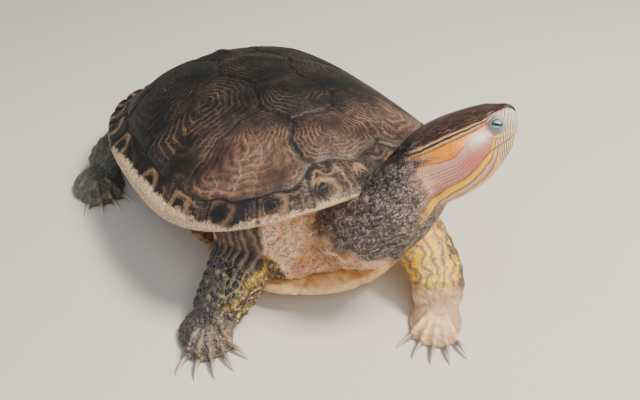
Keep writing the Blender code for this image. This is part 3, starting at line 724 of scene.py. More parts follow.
# %% One skin over the flesh
LIMB_PARTS = {"foreleg": ("upper_arm", "forearm", "forefoot"), "hindleg": ("thigh", "shin", "hindfoot")}
FLESH = ["trunk", "neck", "head", "lower_jaw", "tail"] + [
    f"{part}_{side}" for parts in LIMB_PARTS.values() for side in ("left", "right") for part in parts]
SWELL = 0.5 * MM
SKIN_CELL = 2.3 * MM


def merged_copy(node):
    """A copy of a solid with its loose triangles joined."""
    pick(bpy.data.objects[node])
    bpy.ops.object.duplicate()
    copy = bpy.context.object
    bpy.ops.object.mode_set(mode="EDIT")
    bpy.ops.mesh.select_all(action="SELECT")
    bpy.ops.mesh.remove_doubles(threshold=0.00001)
    bpy.ops.object.mode_set(mode="OBJECT")
    copy.data.materials.clear()
    return copy


def add_ball(centre, radii, aim=(1, 0, 0)):
    """An ellipsoid that fills a hollow under the skin. Its first radius lies along aim."""
    bpy.ops.mesh.primitive_uv_sphere_add(segments=32, ring_count=16, radius=1.0, location=centre)
    made = bpy.context.object
    made.scale = radii
    made.rotation_euler = Vector(aim).to_track_quat("X", "Z").to_euler()
    bpy.ops.object.transform_apply(location=True, rotation=True, scale=True)
    return made


def one_surface(pieces, name, cell, soften, by=SWELL):
    """Joins pieces into one closed, softened surface."""
    pick(*pieces)
    bpy.ops.object.join()
    made = bpy.context.object
    made.name = name
    swell = made.modifiers.new("swell", "DISPLACE")
    swell.strength = by
    swell.mid_level = 0.0
    remesh = made.modifiers.new("remesh", "REMESH")
    remesh.mode = "VOXEL"
    remesh.voxel_size = cell
    smooth = made.modifiers.new("soften", "SMOOTH")
    smooth.factor = 0.5
    smooth.iterations = soften
    finish_modifiers(made)
    return made


print("flesh solids:", len(FLESH))

# %% Limbs know their own length
LIMB_ROUTES = {
    "foreleg_right": [(0.074, -0.044, 0.050), (0.090, -0.060, 0.044), (0.101, -0.075, 0.033),
                      (0.106, -0.088, 0.021), (0.109, -0.099, 0.012)],
    "foreleg_left": [(0.086, 0.043, 0.052), (0.116, 0.0487, 0.0440), (0.144, 0.0478, 0.0350),
                     (0.163, 0.045, 0.026), (0.174, 0.038, 0.013)],
    "hindleg_right": [(-0.070, -0.044, 0.034), (-0.090, -0.064, 0.034), (-0.106, -0.082, 0.029),
                      (-0.108, -0.098, 0.021), (-0.101, -0.110, 0.013)],
    "hindleg_left": [(-0.070, 0.044, 0.034), (-0.092, 0.064, 0.034), (-0.112, 0.082, 0.029),
                     (-0.117, 0.098, 0.021), (-0.112, 0.110, 0.013)],
}
FEET = {"foreleg_right": ((0.1110, -0.1045), -14, 1.0), "foreleg_left": ((0.1790, 0.0345), -42, 0.97),
        "hindleg_right": ((-0.0900, -0.1185), -2, 1.16), "hindleg_left": ((-0.1020, 0.1190), 16, 1.16)}
FOOT_OF = {"forefoot_right": "foreleg_right", "forefoot_left": "foreleg_left",
           "hindfoot_right": "hindleg_right", "hindfoot_left": "hindleg_left"}
CLAW_NODES = sorted(name for name in frame["nodes"] if name.startswith("claw_"))
ROUTE_STEPS = np.linspace(0, 1, 61)
WRIST_STEP, WRIST_RAISED, WRIST_RADII = 51, 0.0005, (0.0150, 0.0160, 0.0100)
CHEST_PLACES = [(0.098, -0.034), (0.104, -0.012), (0.104, 0.012), (0.098, 0.034)]
CHEST_HEIGHT, CHEST_RADII = 0.0315, (0.0230, 0.0240, 0.0125)
FOOT_REACH = 0.06


def claw_line(node):
    """The middle of a claw's foot, and the root and tip of the claw's solid."""
    middle = np.append(np.array(FEET[FOOT_OF[node[5:-2]]][0]) + SHIFT[:2], 0)
    solid = points(bpy.data.objects[node])
    reach_out = solid @ ((solid.mean(0) - middle) * (1, 1, 0))
    near = reach_out < reach_out.min() + 0.1 * np.ptp(reach_out)
    return middle, solid[near].mean(0), solid[reach_out.argmax()]


def limb_axis(limb):
    """Places along a limb, and its direction, side and upper side at each."""
    keys = np.array(LIMB_ROUTES[limb]) + SHIFT
    at = np.linspace(0, 1, len(keys))
    line = np.stack([through(list(zip(at, keys[:, k])), ROUTE_STEPS) for k in range(3)], -1)
    ahead = np.gradient(line, axis=0)
    ahead /= np.linalg.norm(ahead, axis=1, keepdims=True)
    side = np.cross((0, 0, 1), ahead)
    side /= np.linalg.norm(side, axis=1, keepdims=True)
    return line, ahead, side, np.cross(ahead, side)


def along_limb(limb, places):
    """Share along the limb and angle round it, from its upper side towards its left."""
    line, ahead, side, up = limb_axis(limb)
    nearest = np.argmin(((places[:, None, :] - line[None]) ** 2).sum(-1), axis=1)
    offset = places - line[nearest]
    angle = np.arctan2((offset * side[nearest]).sum(-1), (offset * up[nearest]).sum(-1))
    beyond = (offset * ahead[nearest]).sum(-1) * (nearest == len(ROUTE_STEPS) - 1)
    return ROUTE_STEPS[nearest] + np.maximum(beyond, 0) / FOOT_REACH, np.degrees(angle)


fillers = []
for limb in LIMB_ROUTES:
    line, ahead, side, up = limb_axis(limb)
    wrist = line[WRIST_STEP] + up[WRIST_STEP] * WRIST_RAISED
    fillers.append(add_ball(wrist, WRIST_RADII, ahead[WRIST_STEP]))
for forward, y in CHEST_PLACES:
    fillers.append(add_ball(np.array([forward, y, CHEST_HEIGHT]) + SHIFT, CHEST_RADII))
flesh_pieces = [merged_copy(node) for node in FLESH + ["eye_left", "eye_right"]] + fillers
skin = one_surface(flesh_pieces, "skin", SKIN_CELL, 5)
print("skin starts with", len(skin.data.polygons), "faces")

# %% [markdown]
# The head has its own axes: back from the tip of the snout, out to its left, and up. A place on it
# is then told by how far back it is and by its angle round the axis, from the crown down to the
# chin. The lids, the mouth and every stripe of the face are set out in these numbers.

# %% The head's own axes
HEAD_BASE = Vector((0.1545, 0.0290, 0.1285)) + Vector(SHIFT)
HEAD_AIM = Vector((0.610, 0.592, 0.527)).normalized()
HEAD_LENGTH, HEAD_ROLL = 0.056, math.radians(-14)
EYE_BACK, EYE_ABOVE, EYE_OUT, EYE_RADIUS = 0.0084, 0.0008, 0.0090, 0.0044
MOUTH_BELOW, MOUTH_SLOPE, MOUTH_CORNER = 9.2, math.radians(9), 22.5
head_left = Matrix.Rotation(HEAD_ROLL, 3, HEAD_AIM) @ Vector((0, 0, 1)).cross(HEAD_AIM).normalized()
head_up = HEAD_AIM.cross(head_left)
HEAD_AXES = np.array([-np.array(HEAD_AIM), head_left, head_up])
snout_tip = np.array(HEAD_BASE + HEAD_AIM * HEAD_LENGTH)


def head_place(places):
    """Millimetres back from the snout, to the left and up."""
    return (places - snout_tip) @ HEAD_AXES.T / MM


def from_head(place):
    """The place in the frame of a place told in the head's axes."""
    return np.asarray(place) * MM @ HEAD_AXES + snout_tip


def eye_centre(side):
    """The middle of an eyeball in the head's axes. side is 1 on the left and -1 on the right."""
    return np.array([EYE_BACK, side * EYE_OUT, EYE_ABOVE]) / MM


def eye_line(side):
    """The way an eye looks, in the head's axes."""
    return np.array([-0.08, side * 1.0, 0.10])


print("snout at", snout_tip.round(3))


# %% Fine skin where it shows, coarse skin where the shell hides it
def reach_to(nodes, places):
    """How far each place is from the nearest of some solids, in millimetres."""
    corners, faces = [], []
    for node in nodes:
        mesh = bpy.data.objects[node].data
        faces += [[i + len(corners) for i in face.vertices] for face in mesh.polygons]
        corners += [v.co.copy() for v in mesh.vertices]
    surface = BVHTree.FromPolygons(corners, faces)
    return np.array([surface.find_nearest(p)[3] for p in places]) / MM


def regions(places):
    """Shares, from 0 to 1, of the head and neck, the trunk, the tail and each limb."""
    groups = {"head": ["head", "lower_jaw"], "neck": ["neck"], "trunk": ["trunk"], "tail": ["tail"]}
    for limb in LIMB_ROUTES:
        leg, side = limb.split("_")
        groups[limb] = [f"{part}_{side}" for part in LIMB_PARTS[leg]]
    nearness = {name: np.exp(-reach_to(nodes, places) / 1.5) for name, nodes in groups.items()}
    total = sum(nearness.values()) + 1e-12
    return {name: value / total for name, value in nearness.items()}


def select_points(obj, chosen):
    """Enters edit mode with the chosen points selected."""
    pick(obj)
    bpy.ops.object.mode_set(mode="EDIT")
    bpy.ops.mesh.select_mode(type="VERT")
    bpy.ops.mesh.select_all(action="DESELECT")
    bpy.ops.object.mode_set(mode="OBJECT")
    obj.data.vertices.foreach_set("select", chosen)
    bpy.ops.object.mode_set(mode="EDIT")


def refine(obj, chosen, soften=2):
    """Splits the faces between the chosen points and rounds what the split left flat."""
    select_points(obj, chosen)
    bpy.ops.mesh.subdivide(number_cuts=1)
    for _ in range(soften):
        bpy.ops.mesh.vertices_smooth(factor=0.5)
    bpy.ops.object.mode_set(mode="OBJECT")


HIDDEN_FROM, HIDDEN_TO, HIDDEN_KEPT = -0.092, 0.066, 0.06
NECK_END, FACE_END, EYES_END = 112, 38, 16.5
share_of = regions(points(skin))
for name, value in share_of.items():
    note(skin, name, value)
source_x = (points(skin) - SHIFT)[:, 0]
hidden = (recall(skin, "trunk") > 0.8) & (source_x < HIDDEN_TO) & (source_x > HIDDEN_FROM)
select_points(skin, hidden)
bpy.ops.mesh.decimate(ratio=HIDDEN_KEPT)
bpy.ops.object.mode_set(mode="OBJECT")
print("after thinning the hidden skin:", len(skin.data.polygons), "faces")

back, left, up = head_place(points(skin)).T
face_and_neck = recall(skin, "head") + recall(skin, "neck")
refine(skin, (face_and_neck > 0.35) & (back < NECK_END))
fore = recall(skin, "foreleg_right") + recall(skin, "foreleg_left")
refine(skin, fore > 0.4)
back, left, up = head_place(points(skin)).T
face_and_neck = recall(skin, "head") + recall(skin, "neck")
refine(skin, (face_and_neck > 0.5) & (back < FACE_END), 1)
back, left, up = head_place(points(skin)).T
refine(skin, (recall(skin, "head") > 0.5) & (back < EYES_END), 1)
print("skin triangles:", sum(len(face.vertices) - 2 for face in skin.data.polygons))

# %% [markdown]
# The face is carved by formula. Each lid is a swollen ring about the eye's axis and the socket is
# sunk inside the eyeball's place, so the separate ball fills it. A brow stands over it, the
# nostrils are pits in the blunt end of the snout, and the jaws meet along a line that ends behind
# the eye, where a faint disc, the ear drum, shows under the skin.

# %% The face
place = head_place(points(skin))
outward = normals(skin) @ HEAD_AXES.T
eye_ring = np.full(len(place), 99.0)
LID = [(0, 3.7), (38, 3.7), (42.5, 4.55), (46, 4.95), (54, 5.35), (62, 5.50), (70, 5.9), (80, 6.4)]
CLEAR_OF_EYE = [(0, 0), (42, 0), (46, 4.9), (180, 4.9)]
for side in (-1, 1):
    centre = eye_centre(side)
    eye_axis = eye_line(side)
    eye_axis /= np.linalg.norm(eye_axis)
    offset = place - centre
    reach = np.linalg.norm(offset, axis=1) + 1e-9
    lean = np.degrees(np.arccos(np.clip(offset @ eye_axis / reach, -1, 1)))
    rise = offset[:, 2] / (np.linalg.norm(offset[:, [0, 2]], axis=1) + 1e-9)
    lean_scaled = lean * (1 + 0.40 * rise**2 + 0.06 * rise)
    lid = through(LID, lean_scaled) + 0.25 * bump(lean_scaled, 54, 9) * np.maximum(rise, 0)
    held = step(76, 63, lean_scaled) * (reach < 11)
    place = place + offset / reach[:, None] * ((lid - reach) * held)[:, None]
    offset = place - centre
    reach = np.linalg.norm(offset, axis=1) + 1e-9
    clear = through(CLEAR_OF_EYE, lean_scaled)
    place = centre + offset * np.maximum(1.0, clear / reach)[:, None]
    near = (reach < 13) & (lean < 100)
    ring_now = reach * np.sin(np.radians(np.minimum(lean, 90)))
    eye_ring = np.where(near, ring_now, eye_ring)
height = 0.25 * bump(eye_ring, 7.4, 0.7) - 0.35 * bump(eye_ring, 6.3, 0.55)
height -= 0.16 * bump(eye_ring, 4.35, 0.28)

back, left, up = place.T
round_head = np.degrees(np.arctan2(np.abs(left), up))
height += 0.8 * bump(back, 9.5, 6.0) * bump(round_head, 52, 9)
height -= 0.5 * bump(back, 4.5, 2.6) * bump(round_head, 78, 16)
for side in (-1, 1):
    nostril = np.linalg.norm(place - np.array([0.4, side * 1.75, 2.7]), axis=1)
    height += 0.35 * bump(nostril, 1.15, 0.5) - 1.25 * bump(nostril, 0, 0.62)
mouth_up = -MOUTH_BELOW - math.tan(MOUTH_SLOPE) * back - 1.8 * step(15, 23, back)
below_mouth = mouth_up - up
in_mouth = step(MOUTH_CORNER + 1.5, MOUTH_CORNER - 2, back) * (recall(skin, "head") > 0.3)
height -= 0.62 * bump(below_mouth, 0.1, 0.42) * in_mouth
height += 0.30 * bump(below_mouth, -0.9, 0.8) * in_mouth * step(20, 8, back)
height -= 0.30 * step(0.2, 1.0, below_mouth) * step(3.5, 1.5, below_mouth) * in_mouth
ear = np.hypot(back - 31.5, (round_head - 100) * 0.33)
height += (0.12 * step(4.6, 3.6, ear) - 0.10 * bump(ear, 5.0, 0.9)) * (recall(skin, "head") > 0.3)
height += 0.5 * bump(back, 33, 11) * bump(round_head, 82, 22)
on_head = step(0.25, 0.6, recall(skin, "head") + recall(skin, "neck") * step(62, 52, back))
place = place + outward * (height * on_head)[:, None]
move_points(skin, from_head(place))
note(skin, "eye_ring", eye_ring)
note(skin, "below_mouth", np.where(in_mouth > 0.5, below_mouth, 9.0))
print("face carved")

# %% [markdown]
# Loose skin folds where a neck or a limb bends. The folds run across the line of the limb, and the
# neck wears low ridges along it and a collar of them round its base. Over all of this come small
# pebbled scales, and larger plates on the forearms and feet, made as real relief by one set of
# geometry nodes that reads the masks kept here.

# %% Folds, and masks for the scales
places = points(skin)
source = (places - SHIFT) / MM
head_share, neck_share, trunk_share = recall(skin, "head"), recall(skin, "neck"), recall(skin, "trunk")
back, left, up = head_place(places).T
whole_round = np.degrees(np.arctan2(-left, up))
height = np.zeros(len(places))
along, around, limb_share = np.zeros(len(places)), np.zeros(len(places)), np.zeros(len(places))
for limb in LIMB_ROUTES:
    share = recall(skin, limb)
    mine = share > 0.02
    share_along, angle = along_limb(limb, places[mine])
    along[mine] = np.where(share[mine] > limb_share[mine], share_along, along[mine])
    around[mine] = np.where(share[mine] > limb_share[mine], angle, around[mine])
    limb_share = np.maximum(limb_share, share)
x, y, z = source.T
lumpy = np.sin(x * 0.35 + 1.3 * np.sin(z * 0.23)) * np.sin(y * 0.31 + z * 0.19)
fold_phase = along * 62 + 0.9 * np.sin(np.radians(around) * 2 + lumpy) + 0.8 * lumpy
fold = np.sin(fold_phase) * step(0.15, 0.35, along) * step(1.02, 0.9, along)
height += 0.42 * fold * limb_share
neck_phase = whole_round / 6.5 + 1.4 * np.sin(back * 0.16 + lumpy) + lumpy
neck_fold = np.sin(neck_phase) * step(50, 66, back) * neck_share
height += 0.38 * neck_fold
collar = np.sin((z - 0.55 * x + 0.35 * np.abs(y)) * 0.62 + 1.2 * lumpy)
height += 0.65 * collar * np.clip(trunk_share + neck_share * step(78, 96, back), 0, 1)
toe_away = np.full(len(places), 99.0)
for node in CLAW_NODES:
    middle, root, _ = claw_line(node)
    reach_out = (root - middle)[:2]
    long = np.linalg.norm(reach_out)
    offset = places[:, :2] - middle[:2]
    share = np.clip(offset @ reach_out / long**2, 0, 1.15)
    aside = np.linalg.norm(offset - share[:, None] * reach_out, axis=1) / MM
    toe_away = np.where(share > 0.3, np.minimum(toe_away, aside), toe_away)
upper = step(0.0, 0.5, normals(skin)[:, 2]) * step(0.80, 0.92, along) * limb_share
height += (1.5 * bump(toe_away, 0, 2.3) - 0.5) * upper
arm_folds = step(-56, -66, y) * step(37, 46, z) * step(80, 90, x)
arm_folds *= np.clip(trunk_share + recall(skin, "foreleg_right") * step(0.52, 0.36, along), 0, 1)
wrinkle = x * 1.15 + 0.35 * y + 0.22 * z + 1.3 * lumpy
height += np.sin(wrinkle) * arm_folds
move_points(skin, places + normals(skin) * (height * MM)[:, None])
pebbled = neck_share * step(46, 62, back) + head_share * step(44, 58, back) + trunk_share
plated = limb_share * step(0.30, 0.5, along) * (1 - 0.65 * recall(skin, "foreleg_left"))
# The mask between the toes marks where painted shade darkens the forefeet.
masks = {"pebbled": np.clip(pebbled + limb_share * step(0.5, 0.2, along), 0, 1), "plated": plated,
         "along": along, "around": around, "limb": limb_share, "arm_folds": arm_folds,
         "shade_between_toes": step(1.4, 3.2, toe_away) * upper, "wrinkle": wrinkle / (2 * math.pi),
         "rest": points(skin)}
for name, values in masks.items():
    note(skin, name, values)
print("folds raised, at most", round(float(height.max()), 2), "mm")

# %% Scales in relief
PEBBLES_PER_METRE, PLATES_PER_METRE = 800.0, 260.0
PEBBLE_LIFT, PLATE_LIFT = 0.36 * MM, 0.60 * MM
tree = bpy.data.node_groups.new("skin_relief", "GeometryNodeTree")
for way in ("INPUT", "OUTPUT"):
    tree.interface.new_socket("Geometry", in_out=way, socket_type="NodeSocketGeometry")
surface = add("NodeGroupInput")
rest = add("GeometryNodeInputNamedAttribute", Name="rest", data_type="FLOAT_VECTOR")
lifts = []
for mask, scale, lift in (("pebbled", PEBBLES_PER_METRE, PEBBLE_LIFT),
                          ("plated", PLATES_PER_METRE, PLATE_LIFT)):
    edge = add("TexVoronoi", rest, scale, feature="DISTANCE_TO_EDGE")
    domed = add("MapRange", edge, 0, 0.28, -0.5 * lift, 0.5 * lift, interpolation_type="SMOOTHSTEP")
    share = add("GeometryNodeInputNamedAttribute", Name=mask)
    lifts.append(add("Math", domed, share, operation="MULTIPLY"))
offset = add("VectorMath", add("GeometryNodeInputNormal"), Scale=summed(*lifts), operation="SCALE")
add("NodeGroupOutput", add("GeometryNodeSetPosition", Geometry=surface, Offset=offset))
skin.modifiers.new("relief", "NODES").node_group = tree
finish_modifiers(skin)
placed = points(skin)
placed[:, 2] = np.maximum(placed[:, 2], 0.0)
move_points(skin, placed)
pick(skin)
bpy.ops.object.shade_smooth()
print("scales raised")

# %% [markdown]
# The head's stripes all run back from the snout. A number called flow counts the way down from the
# crown, 0, to the chin, 1, and is bent so that each stripe lies at one value of it: the dark crown
# ends at 0.30, the orange band lies between 0.36 and 0.50, and the yellow jaw stripe between 0.76
# and 0.84. In front of the eye the stripes turn down the face, so there a second number counts them.

# %% Flow of the head's stripes
FLOW_VALUES = np.array([0, 0.30, 0.36, 0.50, 0.60, 0.76, 0.84, 0.90, 1.0])
CROWN_EDGE = [(0, 30), (1.3, 33), (5.3, 50), (13, 71), (16.3, 75), (21.8, 78), (27.5, 80), (33.3, 82),
              (39, 83), (45, 85), (60, 86)]
BAND_TOP = [(0, 36), (5.3, 56), (13, 77), (16.8, 81), (22, 82.5), (27.4, 84), (36, 85), (45, 86.5),
            (60, 88)]
BAND_BOTTOM = [(0, 44), (5.3, 66), (13, 86), (17, 84.5), (24, 95), (29.7, 102), (36, 109), (43, 107),
               (48, 104), (60, 97)]
PALE_BOTTOM = [(0, 60), (5.3, 82), (13, 103), (20.7, 107), (26.5, 110), (36, 118), (48, 116), (60, 112)]
JAW_TOP = [(0, 84), (5.3, 100), (11.7, 111), (14.6, 124.5), (18.5, 134), (23.2, 138), (28.2, 141),
           (36, 144), (46, 143), (53, 146), (60, 144)]
JAW_BOTTOM = [(0, 98), (5.3, 110), (11.7, 117.5), (14.6, 131.5), (18.5, 141), (23.2, 145), (28.2, 148),
              (36, 151), (46, 151), (53, 154), (60, 152)]
THROAT_LINE = [(0, 120), (5.3, 126), (10.7, 131), (13.6, 146), (18, 156), (24, 162.5), (31, 163),
               (39, 164), (60, 167)]
STRIPE_EDGES = [[(0, 0), (60, 0)], CROWN_EDGE, BAND_TOP, BAND_BOTTOM, PALE_BOTTOM, JAW_TOP, JAW_BOTTOM,
                THROAT_LINE, [(0, 180), (60, 180)]]
FACE_LINE = [(0, -3.5), (33, 1.3), (88, 3.4), (129, 5.9), (152, 9.8), (180, 13)]

places = points(skin)
back, left, up = head_place(places).T
round_head = np.degrees(np.arctan2(np.abs(left), up))
edges = np.array([through(edge, back) for edge in STRIPE_EDGES])
flow = np.zeros(len(places))
for upper, lower, first, last in zip(edges, edges[1:], FLOW_VALUES, FLOW_VALUES[1:]):
    inside = (round_head >= upper) & (round_head <= lower)
    flow = np.where(inside, first + (last - first) * (round_head - upper) / (lower - upper + 1e-6), flow)
face_phase = back - through(FACE_LINE, round_head)
print("flow runs from", flow.min(), "to", flow.max())

# %% Where each marking lies
x, y, z = ((places - SHIFT) / MM).T
whole_round = np.degrees(np.arctan2(-left, up))
ragged = 2.5 * np.sin(round_head * 0.21) + 1.6 * np.sin(round_head * 0.57 + back * 0.2)
stripes_end = back + ragged + 7 * bump(flow, 0.43, 0.08) - 9 * bump(flow, 0.8, 0.06)
amber = bump(x, 138, 24) * bump(y, -24, 20) * bump(z, 54, 15)
amber += 0.8 * bump(x, 121, 14) * bump(y, -27, 14) * bump(z, 74, 14)
peach = step(77, 58, z + 5 * np.sin(x * 0.31) + 4 * np.sin(y * 0.27)) * step(-42, -18, y)
facing_out = normals(skin) @ np.array([0.50, 0.86, 0.0]) + 0.12 * np.sin(z * 0.5)
markings = {
    "flow": flow, "face_phase": face_phase, "back": back, "amber": amber,
    "striped": (recall(skin, "head") + recall(skin, "neck")) * step(64, 46, stripes_end),
    "facing": step(6.5, 3.2, face_phase) * step(22, 14, back),
    "white_patch": bump(back, 18.5, 6.5) * bump(round_head, 96, 12) * step(9, 13, back) * 1.15,
    "rosy": bump(back, 27, 8.0) * bump(round_head, 127, 13),
    "nape": step(118, 56, np.abs(whole_round - 8)) * step(40, 60, back),
    "peach": peach * recall(skin, "neck"),
    "rear": np.clip(step(40, 5, x) * recall(skin, "trunk") + recall(skin, "tail"), 0, 1),
    "outer": step(0.20, 0.70, facing_out) * recall(skin, "foreleg_left"),
}
for name, values in markings.items():
    note(skin, name, values)
print("markings kept:", len(markings))

# %% [markdown]
# The skin's colours lie in layers: pale flesh at the bottom, the purple-brown net and the dark of
# the nape and of the scales over it, then the stripes of the head. Sliders are striped on every
# part, so the forelegs get their yellow lines too, running down from the elbow to the toes.

# %% Skin colours
hide, tree, shader = new_material("turtle_skin", 0.46, Specular_IOR_Level=0.4)
NAMES = ["head", "neck", "limb", "foreleg_left", "hindleg_right", "hindleg_left", "along", "around",
         "pebbled", "plated", "arm_folds", "wrinkle", "shade_between_toes", "eye_ring", "below_mouth"]
fact = {name: add("Attribute", attribute_name=name, out="Fac") for name in [*NAMES, *markings]}
rest = add("Attribute", attribute_name="rest", out="Vector")

cloud = add("TexNoise", rest, 45.0, 3.0)
grain = add("TexNoise", rest, 300.0, 4.0)
fine = add("TexNoise", rest, 1300.0, 3.0)
pebble_edge = add("TexVoronoi", rest, PEBBLES_PER_METRE, feature="DISTANCE_TO_EDGE")
plate_edge = add("TexVoronoi", rest, PLATES_PER_METRE, feature="DISTANCE_TO_EDGE")
plate_tint = add("SeparateColor", add("TexVoronoi", rest, PLATES_PER_METRE, out="Color"))
pebble_tint = add("SeparateColor", add("TexVoronoi", rest, PEBBLES_PER_METRE, out="Color"), out="Green")
print("readings of the skin:", len(fact))

# %% Neck and trunk
# Dark pebbles are flecked with pale, near black on the nape. The shoulder is pink and amber.
head_turn = Matrix(HEAD_AXES.tolist()).transposed().to_euler()
drawn_out = add("Mapping", Vector=rest, Rotation=head_turn, Scale=(3.0, 1.0, 1.0), vector_type="TEXTURE")
flecks = add("TexNoise", drawn_out, 820.0, 3.0)
strands = add("TexNoise", drawn_out, 420.0, 4.0)
pebbles = add("ValToRGB", summed((pebble_tint, 0.45), (flecks, 0.62)),
    stops=[(0.3, "#3A3130"), (0.46, "#60534F"), (0.6, "#877672"), (0.72, "#A29189"), (0.88, "#C8B7AA")])
neck_tone = painted(pebbles,
    ("#2A2220", add("MapRange", pebble_edge, 0.12, 0.02, 0, 0.7)),
    ("#1E1A1A", add("MapRange", strands, 0.52, 0.35, 0, 0.58)),
    ("#C4AC94", add("MapRange", strands, 0.57, 0.73, 0, 0.46)),
    ("#1B1B1D", fact["nape"], add("MapRange", strands, 0.78, 0.5, 0, 0.95)))
warped = wandering(rest, 170.0, 3.0, 0.016)
squiggle = away(add("TexNoise", warped, 210.0, 2.0), 0.5)
patches = add("TexNoise", warped, 95.0, 3.0)
shoulder = add("ValToRGB", add("TexNoise", rest, 60.0, 4.0),
    stops=[(0.34, "#D89E88"), (0.46, "#F6C298"), (0.56, "#FFDDB4"), (0.68, "#E8B6B8")])
shoulder = painted(shoulder,
    ("#E89C3C", add("MapRange", patches, 0.55, 0.66, 0, 0.62)),
    ("#6B4745", add("MapRange", squiggle, 0.04, 0.012, 0, 0.85)),
    ("#5C4440", add("MapRange", pebble_edge, 0.1, 0.02, 0, 0.14)))
amber_skin = painted("#B5854C", ("#3E2C22", add("MapRange", flecks, 0.4, 0.56, 0, 0.85)))
neck_share = add("Math", fact["neck"], add("Math", fact["peach"], 0.85, operation="MULTIPLY"),
    operation="SUBTRACT")
neck_share = summed(neck_share, (fact["head"], add("MapRange", fact["flow"], 0.56, 0.46)))
body = painted(shoulder,
    (neck_tone, add("MapRange", shaken(neck_share, cloud, 0.5), 0.35, 0.75)),
    (amber_skin, fact["amber"], add("MapRange", add("TexNoise", rest, 130.0, 3.0), 0.4, 0.6, 0, 0.8)))
print("neck and trunk coloured")

# %% Right foreleg
# Dark plates lie above, folds at the shoulder, and rows of small yellow scales along the front.
small_edge = add("TexVoronoi", rest, 520.0, feature="DISTANCE_TO_EDGE")
small_tint = add("SeparateColor", add("TexVoronoi", rest, 520.0, out="Color"), out="Blue")
dust = add("TexNoise", rest, 700.0, 3.0)
plates = add("ValToRGB", summed((plate_tint, 0.55), (grain, 0.5)),
    stops=[(0.28, "#15181B"), (0.45, "#25292D"), (0.6, "#3A3B3A"), (0.78, "#5A544B"), (0.92, "#7E735E")])
plates = painted(plates,
    ("#8B8272", add("MapRange", plate_edge, 0.11, 0.03), add("MapRange", dust, 0.42, 0.58, 0, 0.8)),
    ("#AF9558", add("MapRange", plate_tint, 0.88, 0.95), add("MapRange", plate_edge, 0.1, 0.25, 0, 0.8)))
small_scales = add("ValToRGB", small_tint,
    stops=[(0.0, "#23211F"), (0.42, "#433C31"), (0.72, "#766850"), (1.0, "#B8A272")])
small_scales = painted(small_scales, ("#2E261D", add("MapRange", small_edge, 0.14, 0.03, 0, 0.85)))
turned = shaken(fact["around"], cloud, 60.0)
right_arm = painted(plates, (small_scales, add("MapRange", turned, 44, 70)))
arm_lines = pale_line(add("Math", turned, 0.045, operation="MULTIPLY"), 0.3)
front_line = add("Math", around_value(turned, 64, 11), around_value(fact["along"], 0.44, 0.17),
    operation="MULTIPLY")
fine_lines = add("Math", arm_lines, add("MapRange", turned, 20, 40), operation="MULTIPLY")
fine_lines = add("Math", fine_lines, 0.42, operation="MULTIPLY")
yellow_line = add("Math", front_line, fine_lines, operation="MAXIMUM")
right_arm = painted(right_arm,
    ("#DDB040", yellow_line, add("MapRange", small_edge, 0.02, 0.1)),
    ("#6B6038", add("MapRange", add("Math", fact["around"], operation="ABSOLUTE"), 118, 150, 0, 0.7)))
feet = add("Math", add("MapRange", fact["along"], 0.78, 0.92), add("MapRange", dust, 0.35, 0.62, 0, 0.75),
    operation="MULTIPLY")
right_arm = painted(right_arm, ("#7A7276", feet))
print("right foreleg coloured")

# %% Left foreleg
# Soft pale skin carries broad yellow stripes edged in brown, and is darker along its outer side.
wave = saw(shaken(add("Math", fact["around"], 0.036, operation="MULTIPLY"),
    add("TexNoise", rest, 110.0, 1.5), 2.3))
left_arm = add("ValToRGB", add("TexNoise", rest, 85.0, 3.0),
    stops=[(0.35, "#C0946C"), (0.5, "#DCB27E"), (0.65, "#EACB96")])
left_arm = painted(left_arm,
    ("#75604C", add("MapRange", wave, 0.19, 0.06, 0, 0.88)),
    ("#3A2F22", around_value(wave, 0.225, 0.045), 0.95),
    ("#EDBE10", add("MapRange", wave, 0.255, 0.285, 0, 0.97)),
    ("#3E3936", fact["outer"], add("MapRange", small_tint, 0.9, 0.6, 0, 0.9)),
    ("#6E574A", add("MapRange", small_edge, 0.09, 0.02, 0, 0.22)),
    ("#E8CCA6", add("MapRange", fact["along"], 0.84, 1.0, 0, 0.74)),
    ("#B08C7C", add("MapRange", fact["along"], 0.84, 1.0),
        add("MapRange", add("TexNoise", rest, 190.0, 3.0), 0.52, 0.66, 0, 0.7)),
    # Painted shade between the toes of the left forefoot.
    ("#8E7262", fact["shade_between_toes"], 0.6))
# Painted shade between the toes of the right forefoot, near black.
right_arm = painted(right_arm, ("#2C2A2B", fact["shade_between_toes"], 0.6))
arms = painted(right_arm, (left_arm, add("MapRange", fact["foreleg_left"], 0.3, 0.6)))
print("left foreleg coloured")

# %% Hind legs, tail and the folds at the shoulder
# They wear the same plates, darker, with narrow yellow stripes.
leg_stripes = pale_line(shaken(add("Math", fact["around"], 0.03, operation="MULTIPLY"), cloud, 1.6), 0.36)
hind = painted(plates, ("#5E605E", 0.5), ("#A89A62", leg_stripes, 0.26))
behind = summed(fact["hindleg_right"], summed(fact["hindleg_left"], fact["rear"]))
legs = painted(arms, (hind, add("MapRange", behind, 0.3, 0.6)))
leg_share = summed(fact["rear"], (fact["limb"], add("MapRange", fact["along"], 0.14, 0.34)))
body = painted(body, (legs, add("MapRange", shaken(leg_share, cloud, 0.5), 0.22, 0.52)))

wrinkles = pale_line(summed(fact["wrinkle"], (grain, 0.5)), 0.18)
folded = painted("#2B2423", ("#978474", wrinkles, 0.85))
body = painted(body, (folded, add("MapRange", shaken(fact["arm_folds"], cloud, 0.6), 0.25, 0.6, 0, 0.92)))
print("legs and tail coloured")

